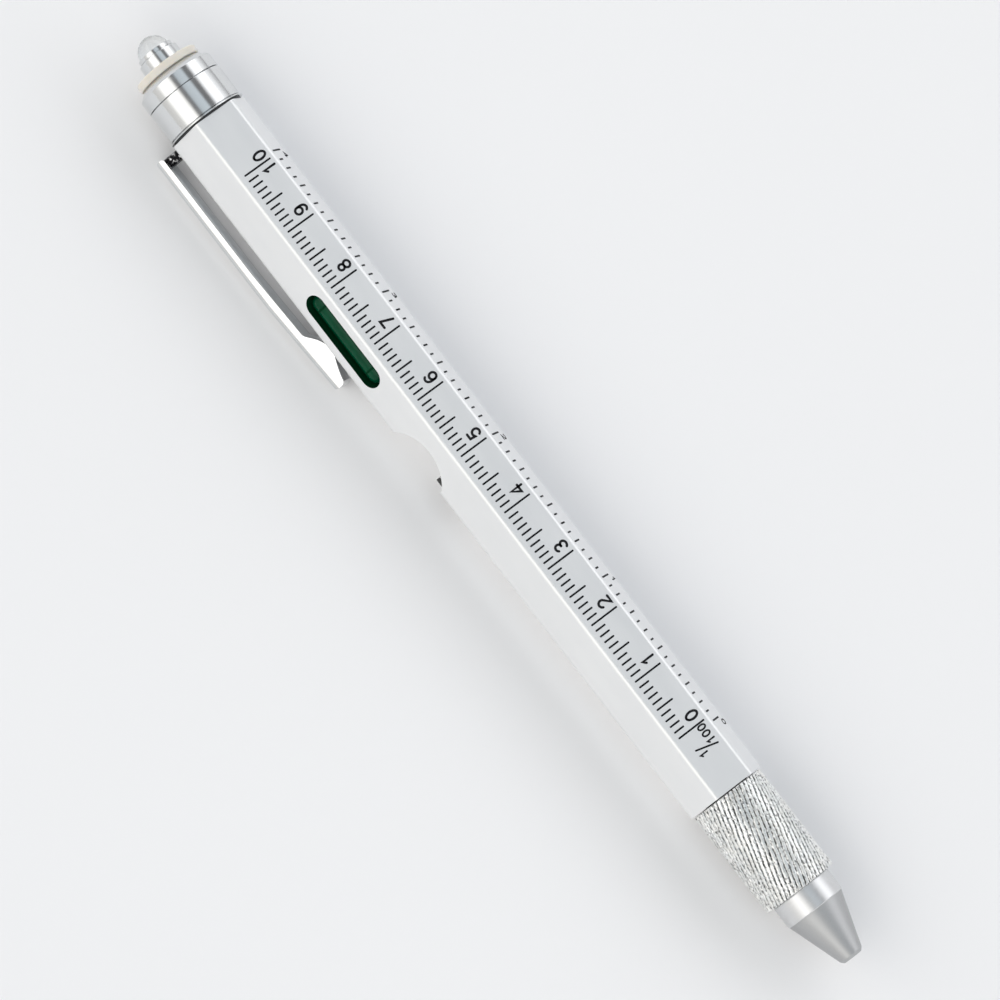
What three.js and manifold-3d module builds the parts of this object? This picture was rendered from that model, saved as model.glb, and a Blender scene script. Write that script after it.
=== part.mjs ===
// Multi tool pen: hexagonal ruler barrel with a level, an opener, a sprung clip, a press lamp and a twist ball pen.
// Lengths in millimetres. +X runs along the pen to the writing point, +Z stands out of the ruled upper flat.
// The origin lies on the centre line of the lower flat, level with the zero mark of the rulers.
import * as THREE from "three";
import { mergeVertices } from "three/addons/utils/BufferGeometryUtils.js";
import Module from "manifold-3d";

const wasm = await Module();
wasm.setup();

// Clearances
const seatGap = 0.05; // between pieces that are pressed or screwed together
const slideGap = 0.12; // between pieces that slide or turn
const jointGap = 0.3; // the dark line between barrel and grip
const overrun = 1; // how far a cut runs past the face that it opens

// Facets of round work
const roundSegments = 40;
const smallSegments = 24;
const arcSegments = 3;

// Barrel
const acrossFlats = 11.2;
const barrelLength = 120;
const noseReach = 10; // from the zero mark to the barrel's nose end
const cornerRadius = 0.6;
const barrelWall = 0.6; // left between a flat and the collar's spigot
const boreRoom = 1; // bore behind the guide sleeve

// Level
const vialCentre = -72.9;
const vialLength = 16;
const vialDiameter = 3.5;
const vialSink = 0.3; // crown of the vial below the flat
const chamberLength = 11;
const vialWall = 0.5;
const bubbleLength = 9.5;
const bubbleDiameter = 1.25;

// Opener
const notchCentre = -53.3;
const notchRadius = 7;
const notchDepth = 2.95;
const notchToothReach = 5.25; // from the notch's centre to the tooth's wall
const lipReach = 2; // how far the steel tongue stands out of that wall
const lipRoot = 4; // how far it is let into the barrel
const lipWidth = 3;
const lipThickness = 1;
const lipSink = 0.3;
const lipBevel = 0.35;

// Clip
const clipLength = 41.2;
const clipWidth = 4;
const clipSheet = 0.45;
const clipBend = 0.9;
const clipRise = 4; // from the flat to the clip's back
const clipStraight = 26; // how far the back runs level with the barrel
const clipFall = 0.7; // how much nearer the back comes from there to the tip
const clipHeadInset = 0.1; // from the barrel's head end to the clip
const flangeDepth = 1.45; // below the level back, along the flange's even run
const flangeFootDepth = 1.85; // the same at the lobe's foot
const flangeTipDepth = 2.63; // the same at the tip
const flangeEven = 21; // how far the flange keeps its depth
const lobeRise = 4.7; // from the lobe's foot to its peak
const lobeFall = 3.9; // from its peak to where the tip's rounding starts
const lobeRiseShares = [0.2, 0.4]; // of lobeRise, where the curve's two handles stand
const lobeFallShares = [0.15, 0.3]; // the same for lobeFall
const lobeDropShare = 0.45; // of the fall's height, how far down the second handle is
const lobeGap = 0.01; // between the lobe and the flat that it presses on
const tipRadius = 0.7;
const rootLength = 1.6;
const rootInset = 0.1;
const rootDepth = 0.42; // how far the root goes into the barrel's wall
const rootWidth = 2.6;

// Head collar
const collarFlange = 0.6;
const collarFlangeStep = 0.23; // rim of the flange beyond the cap
const collarSpigotWall = 0.41;
const collarSpigotLength = 5;
const spigotRoom = 0.2; // bore past the end of a spigot

// Cap
const capStep = 0.42; // cap beyond the flats
const capWall = 0.7;
const capLength = 8.95;
const crownLength = 3.35; // from the cap's top to the seam between crown and sleeve
const capChamferLength = 1.15;
const capChamferWidth = 1.32;
const capSpigot = 0.85;
const capEdge = 0.15;

// Cream ring
const ringOverhang = 0.36; // ring beyond the crown's top
const ringThickness = 1.2;
const ringWall = 0.48;
const ringSpigotLength = 0.55;
const crownLip = 0.6; // crown's wall round the ring's spigot
const ringEdge = 0.2;

// Lamp
const bezelStep = 0.36; // bezel beyond its lip
const bezelLength = 1.7;
const bezelLipWall = 0.3;
const bezelLipLength = 0.9;
const bezelSkirtWall = 0.5;
const bezelFlange = 0.8;
const flangeRoom = 0.35; // from the ring's spigot to the bezel's flange
const lampReach = 2.3; // dome past the bezel's lip
const lampFlangeStep = 0.45;
const lampFlange = 0.9;
const leadSide = 0.45;
const leadPitch = 2.54;
const pressTravel = 0.8; // how far the lamp moves in before its leads meet the cell
const buttonWire = 0.26;
const buttonTurns = 2;
const buttonSpringRoom = 1.45; // from the bezel's flange to the battery holder

// Cells and their holder
const cellThickness = 3.6;
const cellCount = 3;
const cellCanInset = 0.85; // from a cell's rim in to the raised face of its can
const cellCanStep = 0.25;
const holderWall = 0.35;
const holderFloor = 0.4;
const holderEye = 1.2; // hole in the holder's floor
const batterySpringLength = 1.5;
const batteryWire = 0.3;
const batteryTurns = 2;

// Grip and nose cone
const gripLength = 16.7;
const gripStep = 0.2; // grip beyond the flats
const ribCount = 52;
const ribDepth = 0.28;
const ribLeadAngle = 18; // degrees from the pen's axis
const gripEdge = 0.3;
const coneCollarLength = 3.5;
const coneCollarStep = 1.07; // cone's collar inside the grip
const coneLength = 8.6;
const coneEndEdge = 0.45;
const coneEndLip = 0.13; // flat ring round the hole for the point
const coneSpigotStep = 0.83; // spigot inside the cone's collar
const coneSpigotWall = 0.9;
const coneSpigotLength = 7;
const throatGap = 0.145; // between the refill and the cone's throat
const coneGroove = 0.15;

// Twist mechanism
const bushWall = 0.43;
const bushLength = 6;
const twistTubeRadius = 3.6;
const twistTubeWall = 0.6;
const twistTubeRear = 1; // behind the refill's carrier
const twistTubeSeat = 6; // length pressed into the grip
const twistFlange = 1;
const guideRear = 2; // guide sleeve behind the twist tube
const guideFront = 5.2; // guide sleeve past the last place of the pin
const pinRadius = 0.45;
const refillTravel = 5;
const twistTurn = 180; // degrees of twist for the whole travel

// Refill
const refillLength = 67;
const refillRadius = 1.175;
const refillWall = 0.2;
const refillTipLength = 10.6;
const tipConeLength = 4;
const tipNeckRadius = 0.5;
const ballRadius = 0.35;
const tipRecess = 1.5; // drawn-in point behind the cone's end
const carrierGrip = 5.5; // refill held in the carrier
const carrierSolid = 5.6;

// Radii, from the flats inwards
const axisHeight = acrossFlats / 2;
const collarSpigotRadius = axisHeight - barrelWall - seatGap;
const holderClear = collarSpigotRadius - collarSpigotWall;
const holderRadius = holderClear - slideGap;
const holderBore = holderRadius - holderWall;
const cellRadius = holderBore - slideGap;
const cellCanRadius = cellRadius - cellCanInset;
const capRadius = axisHeight + capStep;
const collarFlangeRadius = capRadius + collarFlangeStep;
const sleeveBore = capRadius - capWall;
const collarNeckRadius = sleeveBore - slideGap;
const capTopRadius = capRadius - capChamferWidth;
const ringRadius = capTopRadius + ringOverhang;
const ringSeatBore = capTopRadius - crownLip;
const ringSpigotRadius = ringSeatBore - seatGap;
const ringBore = ringSpigotRadius - ringWall;
const bezelFlangeRadius = ringSeatBore - slideGap;
const bezelSkirtRadius = ringBore - slideGap;
const lampFlangeBore = bezelSkirtRadius - bezelSkirtWall;
const lampFlangeRadius = lampFlangeBore - seatGap;
const lampRadius = lampFlangeRadius - lampFlangeStep;
const lampBore = lampRadius + seatGap;
const bezelLipRadius = lampBore + bezelLipWall;
const bezelRadius = bezelLipRadius + bezelStep;
const bushRadius = twistTubeRadius + slideGap + bushWall;
const gripRadius = axisHeight + gripStep;
const coneCollarRadius = gripRadius - coneCollarStep;
const coneSpigotRadius = coneCollarRadius - coneSpigotStep;
const coneSpigotBore = coneSpigotRadius - coneSpigotWall;
const coneThroat = refillRadius + throatGap;
const coneEndRadius = coneThroat + coneEndLip + coneEndEdge;

// Places along the pen, from the nose end back to the bore's end
const noseEnd = noseReach;
const headEnd = noseReach - barrelLength;
const gripStart = noseEnd + jointGap;
const gripEnd = gripStart + gripLength;
const coneEnd = gripEnd + seatGap + coneCollarLength + coneLength;
const refillPoint = coneEnd - tipRecess;
const refillTail = refillPoint - refillLength;
const tipStart = refillPoint - refillTipLength;
const carrierStart = refillTail - seatGap - carrierSolid;
const carrierEnd = refillTail + carrierGrip;
const pinPlace = carrierStart + carrierSolid / 2;
const twistRear = carrierStart - twistTubeRear;
const guideStart = twistRear - guideRear;
const guideEnd = pinPlace + refillTravel + guideFront;
const mechanismEnd = guideStart - boreRoom;

// Places along the pen, from the cap's top out to the lamp and in to the cells
const capTop = headEnd - capLength;
const seam = capTop + crownLength;
const crownFoot = seam - seatGap;
const ringTop = capTop - seatGap - ringThickness;
const bezelTop = ringTop - bezelLength;
const lipTop = bezelTop - bezelLipLength;
const lampEnd = lipTop - lampReach;
const flangeTop = capTop + ringSpigotLength + flangeRoom;
const flangeFace = flangeTop + bezelFlange;
const lampFlangeTop = flangeTop + seatGap;
const lampBase = lampFlangeTop + lampFlange;
const holderFront = flangeFace + buttonSpringRoom;
const cellFace = holderFront + cellCanStep;
const cellRear = cellFace + cellCount * cellThickness;
const holderRear = cellRear + batterySpringLength + holderFloor;
const leadStart = lampBase + seatGap;
const leadEnd = cellFace - slideGap - pressTravel;

// Solids

// A closed geometry becomes a solid once its shared corners are merged.
function solidFrom(geometry) {
  const loose = geometry.index ? geometry.toNonIndexed() : geometry;
  const bare = new THREE.BufferGeometry();
  bare.setAttribute("position", loose.getAttribute("position"));
  const merged = mergeVertices(bare);
  return new wasm.Manifold(
    new wasm.Mesh({
      numProp: 3,
      vertProperties: new Float32Array(merged.attributes.position.array),
      triVerts: new Uint32Array(merged.index.array),
    }),
  );
}

function geometryFrom(solid) {
  const mesh = solid.getMesh();
  const geometry = new THREE.BufferGeometry();
  geometry.setAttribute("position", new THREE.BufferAttribute(mesh.vertProperties, mesh.numProp));
  geometry.setIndex(new THREE.BufferAttribute(mesh.triVerts, 1));
  const flat = geometry.toNonIndexed();
  flat.computeVertexNormals();
  return flat;
}

const alongX = new THREE.Matrix4().makeBasis(
  new THREE.Vector3(0, 1, 0),
  new THREE.Vector3(0, 0, 1),
  new THREE.Vector3(1, 0, 0),
);
const acrossY = new THREE.Matrix4().makeBasis(
  new THREE.Vector3(1, 0, 0),
  new THREE.Vector3(0, 0, 1),
  new THREE.Vector3(0, -1, 0),
);

// Turned work: a profile of [x, radius] points, out along the surface with x rising and back along the bore.
function turned(profile, segments = roundSegments) {
  const points = profile.map(([x, radius]) => new THREE.Vector2(radius, x));
  return solidFrom(new THREE.LatheGeometry(points, segments).rotateZ(-Math.PI / 2));
}

function rod(start, end, radius, segments = roundSegments) {
  const profile = [
    [start, 0],
    [start, radius],
    [end, radius],
    [end, 0],
  ];
  return turned(profile, segments);
}

function tube(start, end, radius, bore, segments = roundSegments) {
  const profile = [
    [start, bore],
    [start, radius],
    [end, radius],
    [end, bore],
    [start, bore],
  ];
  return turned(profile, segments);
}

// A shape drawn across the pen, in (y, z), carried from one x to another.
function extrudedAlong(shape, start, end) {
  const geometry = new THREE.ExtrudeGeometry(shape, {
    depth: end - start,
    bevelEnabled: false,
    curveSegments: arcSegments,
  });
  return solidFrom(geometry.applyMatrix4(alongX).translate(start, 0, 0));
}

// A side outline, in (x, z), given a width that is centred on the middle plane.
function sideCut(shape, width, curveSegments = roundSegments / 2) {
  const geometry = new THREE.ExtrudeGeometry(shape, { depth: width, bevelEnabled: false, curveSegments });
  return solidFrom(geometry.applyMatrix4(acrossY).translate(0, width / 2, 0));
}

function block(xLow, xHigh, width, zLow, zHigh) {
  const geometry = new THREE.BoxGeometry(xHigh - xLow, width, zHigh - zLow);
  return solidFrom(geometry.translate((xLow + xHigh) / 2, 0, (zLow + zHigh) / 2));
}

// A round post standing out of the axis, turned about the pen by an angle.
function post(x, radius, low, high, turn = 0) {
  const geometry = new THREE.CylinderGeometry(radius, radius, high - low, smallSegments);
  geometry.rotateX(Math.PI / 2).translate(0, 0, (low + high) / 2);
  return solidFrom(geometry.rotateX(turn).translate(x, 0, 0));
}

function turnedAbout(solid, angle) {
  return solidFrom(geometryFrom(solid).rotateX(angle));
}

// Materials
function finish(colour, roughness, metalness, opacity = 1) {
  return new THREE.MeshStandardMaterial({
    color: new THREE.Color(colour),
    roughness,
    metalness,
    opacity,
    transparent: opacity < 1,
  });
}

const satin = finish(0xd3d6d8, 0.38, 0.7);
const chrome = finish(0xe6e9ea, 0.08, 1);
const brightGrip = finish(0xd9dbdc, 0.25, 0.95);
const steel = finish(0x9fa3a6, 0.3, 1);
const brass = finish(0xb59a5a, 0.3, 0.9);
const cream = finish(0xe3d9c9, 0.5, 0);
const blackPlastic = finish(0x202124, 0.55, 0);
const clear = finish(0xf2f6f6, 0.05, 0, 0.35);
const green = finish(0x1a8a55, 0.1, 0, 0.7);

// The faces that carry something: turns about the pen's axis from the ruled upper flat.
const levelTurn = Math.PI / 3;
const clipTurn = (2 * Math.PI) / 3;

const pen = new THREE.Group();
pen.position.z = axisHeight;
const levelSide = new THREE.Group();
levelSide.rotation.x = levelTurn;
const clipSide = new THREE.Group();
clipSide.rotation.x = clipTurn;
pen.add(levelSide, clipSide);

function piece(name, solid, material, home = pen) {
  const mesh = new THREE.Mesh(geometryFrom(solid), material);
  mesh.name = name;
  home.add(mesh);
}

// Barrel

function hexagon() {
  const cornerCircle = (acrossFlats / 2 - cornerRadius) / Math.cos(Math.PI / 6);
  const outline = new THREE.Shape();
  for (let corner = 0; corner < 6; corner += 1) {
    const angle = (corner * Math.PI) / 3;
    const y = cornerCircle * Math.cos(angle);
    const z = cornerCircle * Math.sin(angle);
    outline.absarc(y, z, cornerRadius, angle - Math.PI / 6, angle + Math.PI / 6, false);
  }
  outline.closePath();
  return outline;
}

const vialRadius = vialDiameter / 2;
const vialHeight = acrossFlats / 2 - vialSink - vialRadius;

// A capsule along the pen: the vial's pocket, the vial and the bubble share it.
function capsule(centre, length, radius, y, z) {
  const geometry = new THREE.CapsuleGeometry(radius, length - 2 * radius, smallSegments / 4, smallSegments);
  return solidFrom(geometry.rotateZ(-Math.PI / 2).translate(centre, y, z));
}

function vialPocket() {
  const straight = vialLength / 2 - vialRadius;
  const outline = new THREE.Shape();
  outline.absarc(vialCentre + straight, 0, vialRadius, -Math.PI / 2, Math.PI / 2, false);
  outline.absarc(vialCentre - straight, 0, vialRadius, Math.PI / 2, (3 * Math.PI) / 2, false);
  outline.closePath();
  const depth = acrossFlats / 2 + overrun - vialHeight;
  const geometry = new THREE.ExtrudeGeometry(outline, {
    depth,
    bevelEnabled: false,
    curveSegments: smallSegments / 2,
  });
  const window = solidFrom(geometry.translate(0, 0, vialHeight));
  return window.add(capsule(vialCentre, vialLength, vialRadius, 0, vialHeight));
}

// The opener's cut-away: a round sweep that ends in an upright tooth on the nose side.
function openerNotch() {
  const flat = acrossFlats / 2;
  const centreHeight = flat - notchDepth + notchRadius;
  const outline = new THREE.Shape();
  outline.absarc(notchCentre, centreHeight, notchRadius, 0, 2 * Math.PI, false);
  const width = 2 * acrossFlats;
  const sweep = sideCut(outline, width);
  const head = block(
    notchCentre - notchRadius - overrun,
    notchCentre + notchToothReach,
    width + overrun,
    flat - notchDepth - overrun,
    centreHeight + notchRadius + overrun,
  );
  return sweep.intersect(head);
}

const toothWall = notchCentre + notchToothReach;
const lipTopHeight = acrossFlats / 2 - lipSink;
const lipFootHeight = lipTopHeight - lipThickness;

function lipPocket() {
  return block(
    toothWall - overrun,
    toothWall + lipRoot + seatGap,
    lipWidth + 2 * seatGap,
    lipFootHeight - seatGap,
    acrossFlats / 2 + overrun,
  );
}

const rootStart = headEnd + rootInset;
const rootEnd = rootStart + rootLength;
const rootFoot = acrossFlats / 2 - rootDepth;
const rootSlack = 0.15; // room for the root to tilt as the clip opens

function rootSlot() {
  return block(
    rootStart - rootSlack,
    rootEnd + rootSlack,
    rootWidth + 2 * rootSlack,
    collarSpigotRadius - overrun,
    acrossFlats / 2 + overrun,
  );
}

function barrel() {
  let body = extrudedAlong(hexagon(), headEnd, noseEnd);
  body = body.subtract(rod(mechanismEnd, noseEnd + overrun, bushRadius + seatGap));
  const spigotBoreEnd = headEnd + collarSpigotLength + spigotRoom;
  body = body.subtract(rod(headEnd - overrun, spigotBoreEnd, collarSpigotRadius + seatGap));
  body = body.subtract(rod(headEnd, holderRear + slideGap + seatGap, holderClear));
  body = body.subtract(turnedAbout(vialPocket(), levelTurn));
  body = body.subtract(turnedAbout(openerNotch(), clipTurn));
  body = body.subtract(turnedAbout(lipPocket(), clipTurn));
  return body.subtract(turnedAbout(rootSlot(), clipTurn));
}

piece("barrel", barrel(), satin);

// Level

const chamberRadius = vialRadius - seatGap - vialWall;
const chamberEnd = vialCentre + chamberLength / 2;
const chamberStart = vialCentre - chamberLength / 2;

function vialCapsule() {
  return capsule(vialCentre, vialLength - 2 * seatGap, vialRadius - seatGap, 0, vialHeight);
}

function chamber(start, end, radius) {
  return solidFrom(geometryFrom(rod(start, end, radius, smallSegments)).translate(0, 0, vialHeight));
}

// The bubble lies along the side of the chamber that is uppermost while the ruled flat faces up.
function bubble() {
  const offset = chamberRadius - bubbleDiameter / 2;
  const y = offset * Math.sin(levelTurn);
  const z = vialHeight + offset * Math.cos(levelTurn);
  return capsule(vialCentre, bubbleLength, bubbleDiameter / 2, y, z);
}

piece(
  "level_vial",
  vialCapsule().subtract(chamber(chamberStart, vialCentre + vialLength, chamberRadius)),
  clear,
  levelSide,
);
piece(
  "level_plug",
  vialCapsule().intersect(chamber(chamberEnd, vialCentre + vialLength, chamberRadius - seatGap)),
  clear,
  levelSide,
);
piece(
  "level_fluid",
  chamber(chamberStart + seatGap, chamberEnd - seatGap, chamberRadius - seatGap).subtract(bubble()),
  green,
  levelSide,
);

// Opener

function openerLip() {
  const outline = new THREE.Shape();
  const free = toothWall - lipReach;
  outline.moveTo(free, lipFootHeight + lipBevel);
  outline.lineTo(free + lipBevel, lipFootHeight);
  outline.lineTo(toothWall + lipRoot, lipFootHeight);
  outline.lineTo(toothWall + lipRoot, lipTopHeight);
  outline.lineTo(free + lipBevel / 2, lipTopHeight);
  outline.lineTo(free, lipTopHeight - lipBevel / 2);
  outline.closePath();
  return sideCut(outline, lipWidth);
}

piece("opener_lip", openerLip(), steel, clipSide);

// Clip

// The folded section, open towards the barrel: its back lies at z = 0.
function channelSection(half, top, bend, depth) {
  const outline = new THREE.Shape();
  outline.moveTo(-half, -depth);
  outline.lineTo(half, -depth);
  outline.lineTo(half, top - bend);
  outline.absarc(half - bend, top - bend, bend, 0, Math.PI / 2, false);
  outline.lineTo(-half + bend, top);
  outline.absarc(-half + bend, top - bend, bend, Math.PI / 2, Math.PI, false);
  outline.closePath();
  return outline;
}

// The back's fall for each unit of length past its level run.
const clipLean = clipFall / (clipLength - clipStraight);
const clipTipStart = clipLength - tipRadius;
const lobePeak = clipTipStart - lobeFall;
const lobeFoot = lobePeak - lobeRise;
const lobeDepth = clipRise - lobeGap;

// The clip seen from its side: a flange that swells into the lobe which grips the pocket.
function clipOutline() {
  const drop = lobeDepth - flangeTipDepth;
  const tipBack = clipLean * (clipTipStart - clipStraight);
  const outline = new THREE.Shape();
  outline.moveTo(0, overrun);
  outline.lineTo(0, -flangeDepth);
  outline.lineTo(flangeEven, -flangeDepth);
  outline.lineTo(lobeFoot, -flangeFootDepth);
  outline.bezierCurveTo(
    lobeFoot + lobeRise * lobeRiseShares[0],
    -flangeFootDepth,
    lobeFoot + lobeRise * lobeRiseShares[1],
    -lobeDepth,
    lobePeak,
    -lobeDepth,
  );
  outline.bezierCurveTo(
    lobePeak + lobeFall * lobeFallShares[0],
    -lobeDepth,
    lobePeak + lobeFall * lobeFallShares[1],
    -lobeDepth + drop * lobeDropShare,
    clipTipStart,
    -flangeTipDepth,
  );
  outline.absarc(clipTipStart, -flangeTipDepth + tipRadius, tipRadius, -Math.PI / 2, 0, false);
  outline.lineTo(clipLength, -tipBack - tipRadius);
  outline.absarc(clipTipStart, -tipBack - tipRadius, tipRadius, 0, Math.PI / 2, false);
  outline.lineTo(clipTipStart, overrun);
  outline.closePath();
  return outline;
}

// A level run of channel, and the rest of it leaning towards the barrel.
function channelRun(section, start, end) {
  const level = extrudedAlong(section, start, clipStraight);
  const lean = new THREE.Matrix4().makeShear(0, -clipLean, 0, 0, 0, 0);
  const rest = geometryFrom(extrudedAlong(section, clipStraight, end));
  rest.translate(-clipStraight, 0, 0).applyMatrix4(lean).translate(clipStraight, 0, 0);
  return level.add(solidFrom(rest));
}

function pocketClip() {
  const half = clipWidth / 2;
  const depth = clipRise + overrun;
  const blank = channelRun(channelSection(half, 0, clipBend, depth), 0, clipLength);
  const hollow = channelSection(half - clipSheet, -clipSheet, clipBend - clipSheet, depth + overrun);
  const inside = channelRun(hollow, -overrun, clipLength - clipSheet);
  const side = sideCut(clipOutline(), clipWidth + overrun, smallSegments / 2);
  const folded = blank.intersect(side).subtract(inside);
  const back = acrossFlats / 2 + clipRise;
  const placed = geometryFrom(folded).translate(headEnd + clipHeadInset, 0, back);
  const root = block(rootStart, rootEnd, rootWidth, rootFoot, back - clipSheet / 2);
  return solidFrom(placed).add(root);
}

piece("pocket_clip", pocketClip(), chrome, clipSide);

// Head collar: flange on the barrel's end, spigot inside it and the neck that the cap screws on

const neckEnd = crownFoot + capSpigot + spigotRoom;

piece(
  "head_collar",
  turned([
    [neckEnd, holderClear],
    [neckEnd, collarNeckRadius],
    [headEnd - collarFlange, collarNeckRadius],
    [headEnd - collarFlange, collarFlangeRadius - capEdge],
    [headEnd - collarFlange + capEdge, collarFlangeRadius],
    [headEnd - seatGap, collarFlangeRadius],
    [headEnd - seatGap, collarSpigotRadius],
    [headEnd + collarSpigotLength, collarSpigotRadius],
    [headEnd + collarSpigotLength, holderClear],
    [neckEnd, holderClear],
  ]),
  chrome,
);

// Cap

const sleeveFoot = headEnd - collarFlange - seatGap;

piece(
  "cap_sleeve",
  turned([
    [seam, sleeveBore],
    [seam, capRadius - capEdge],
    [seam + capEdge, capRadius],
    [sleeveFoot - capEdge, capRadius],
    [sleeveFoot, capRadius - capEdge],
    [sleeveFoot, sleeveBore],
    [seam, sleeveBore],
  ]),
  chrome,
);

piece(
  "cap_crown",
  turned([
    [capTop, ringSeatBore],
    [capTop, capTopRadius],
    [capTop + capChamferLength, capRadius],
    [crownFoot - capEdge, capRadius],
    [crownFoot, capRadius - capEdge],
    [crownFoot, sleeveBore - seatGap],
    [crownFoot + capSpigot, sleeveBore - seatGap],
    [crownFoot + capSpigot, holderClear],
    [holderFront - slideGap - seatGap, holderClear],
    [holderFront - slideGap - seatGap, ringSeatBore],
    [capTop, ringSeatBore],
  ]),
  chrome,
);

piece(
  "insulating_ring",
  turned([
    [ringTop, ringBore],
    [ringTop, ringRadius - ringEdge],
    [ringTop + ringEdge, ringRadius],
    [capTop - seatGap - ringEdge, ringRadius],
    [capTop - seatGap, ringRadius - ringEdge],
    [capTop - seatGap, ringSpigotRadius],
    [capTop + ringSpigotLength, ringSpigotRadius],
    [capTop + ringSpigotLength, ringBore],
    [ringTop, ringBore],
  ]),
  cream,
);

// Lamp

piece(
  "lamp_bezel",
  turned(
    [
      [lipTop, lampBore],
      [lipTop, bezelLipRadius],
      [bezelTop, bezelLipRadius],
      [bezelTop, bezelRadius],
      [ringTop, bezelRadius],
      [ringTop, bezelSkirtRadius],
      [flangeTop, bezelSkirtRadius],
      [flangeTop, bezelFlangeRadius],
      [flangeFace, bezelFlangeRadius],
      [flangeFace, lampFlangeBore],
      [flangeTop, lampFlangeBore],
      [flangeTop, lampBore],
      [lipTop, lampBore],
    ],
    smallSegments,
  ),
  chrome,
);

// The lamp: a domed rod with the flange of its kind at its base.
function lampLens() {
  const profile = [[lampEnd, 0]];
  for (let step = 1; step <= smallSegments / 4; step += 1) {
    const angle = (step / (smallSegments / 4)) * (Math.PI / 2);
    profile.push([lampEnd + lampRadius * (1 - Math.cos(angle)), lampRadius * Math.sin(angle)]);
  }
  profile.push([lampFlangeTop, lampRadius], [lampFlangeTop, lampFlangeRadius]);
  profile.push([lampBase, lampFlangeRadius], [lampBase, 0]);
  return turned(profile, smallSegments);
}

piece("lamp_lens", lampLens(), clear);

function lampLead(side) {
  const geometry = new THREE.BoxGeometry(leadEnd - leadStart, leadSide, leadSide);
  return solidFrom(geometry.translate((leadStart + leadEnd) / 2, (side * leadPitch) / 2, 0));
}

piece("lamp_lead_1", lampLead(-1), steel);
piece("lamp_lead_2", lampLead(1), steel);

// A coil spring about the pen's axis: one unbroken wire swept along a helix.
class Helix extends THREE.Curve {
  constructor(start, end, radius, turns) {
    super();
    this.start = start;
    this.end = end;
    this.radius = radius;
    this.turns = turns;
  }

  getPoint(share, target = new THREE.Vector3()) {
    const angle = share * this.turns * 2 * Math.PI;
    const x = this.start + share * (this.end - this.start);
    return target.set(x, this.radius * Math.sin(angle), this.radius * Math.cos(angle));
  }
}

const stepsPerTurn = 12;
const wireSides = 6;

function coil(start, end, radius, wire, turns) {
  const section = new THREE.Shape();
  for (let side = 0; side < wireSides; side += 1) {
    const angle = (side * 2 * Math.PI) / wireSides;
    const x = (wire / 2) * Math.cos(angle);
    const y = (wire / 2) * Math.sin(angle);
    if (side === 0) section.moveTo(x, y);
    else section.lineTo(x, y);
  }
  section.closePath();
  const path = new Helix(start + wire / 2 + seatGap, end - wire / 2 - seatGap, radius, turns);
  const geometry = new THREE.ExtrudeGeometry(section, {
    steps: turns * stepsPerTurn,
    extrudePath: path,
    bevelEnabled: false,
  });
  return solidFrom(geometry);
}

const buttonCoilRadius = (lampFlangeRadius + bezelFlangeRadius) / 2;

piece("button_spring", coil(flangeFace, holderFront - seatGap, buttonCoilRadius, buttonWire, buttonTurns), steel);

// Battery holder and its cells

piece(
  "battery_holder",
  turned(
    [
      [holderFront, holderBore],
      [holderFront, holderRadius],
      [holderRear, holderRadius],
      [holderRear, holderEye],
      [holderRear - holderFloor, holderEye],
      [holderRear - holderFloor, holderBore],
      [holderFront, holderBore],
    ],
    smallSegments,
  ),
  blackPlastic,
);

function buttonCell(index) {
  const face = cellFace + index * cellThickness;
  const rear = face + cellThickness - seatGap;
  return turned(
    [
      [face, 0],
      [face, cellRadius - cellCanStep],
      [face + cellCanStep, cellRadius],
      [rear - cellCanStep, cellRadius],
      [rear - cellCanStep, cellCanRadius],
      [rear, cellCanRadius],
      [rear, 0],
    ],
    smallSegments,
  );
}

for (let index = 0; index < cellCount; index += 1) {
  piece("button_cell_" + (index + 1), buttonCell(index), steel);
}

piece(
  "battery_spring",
  coil(cellRear, holderRear - holderFloor, cellCanRadius - batteryWire, batteryWire, batteryTurns),
  steel,
);

// Grip

const twistSeatBore = twistTubeRadius + seatGap;
const coneSeatBore = coneSpigotRadius + seatGap;
const seatShoulder = gripStart + twistTubeSeat + slideGap;

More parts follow.
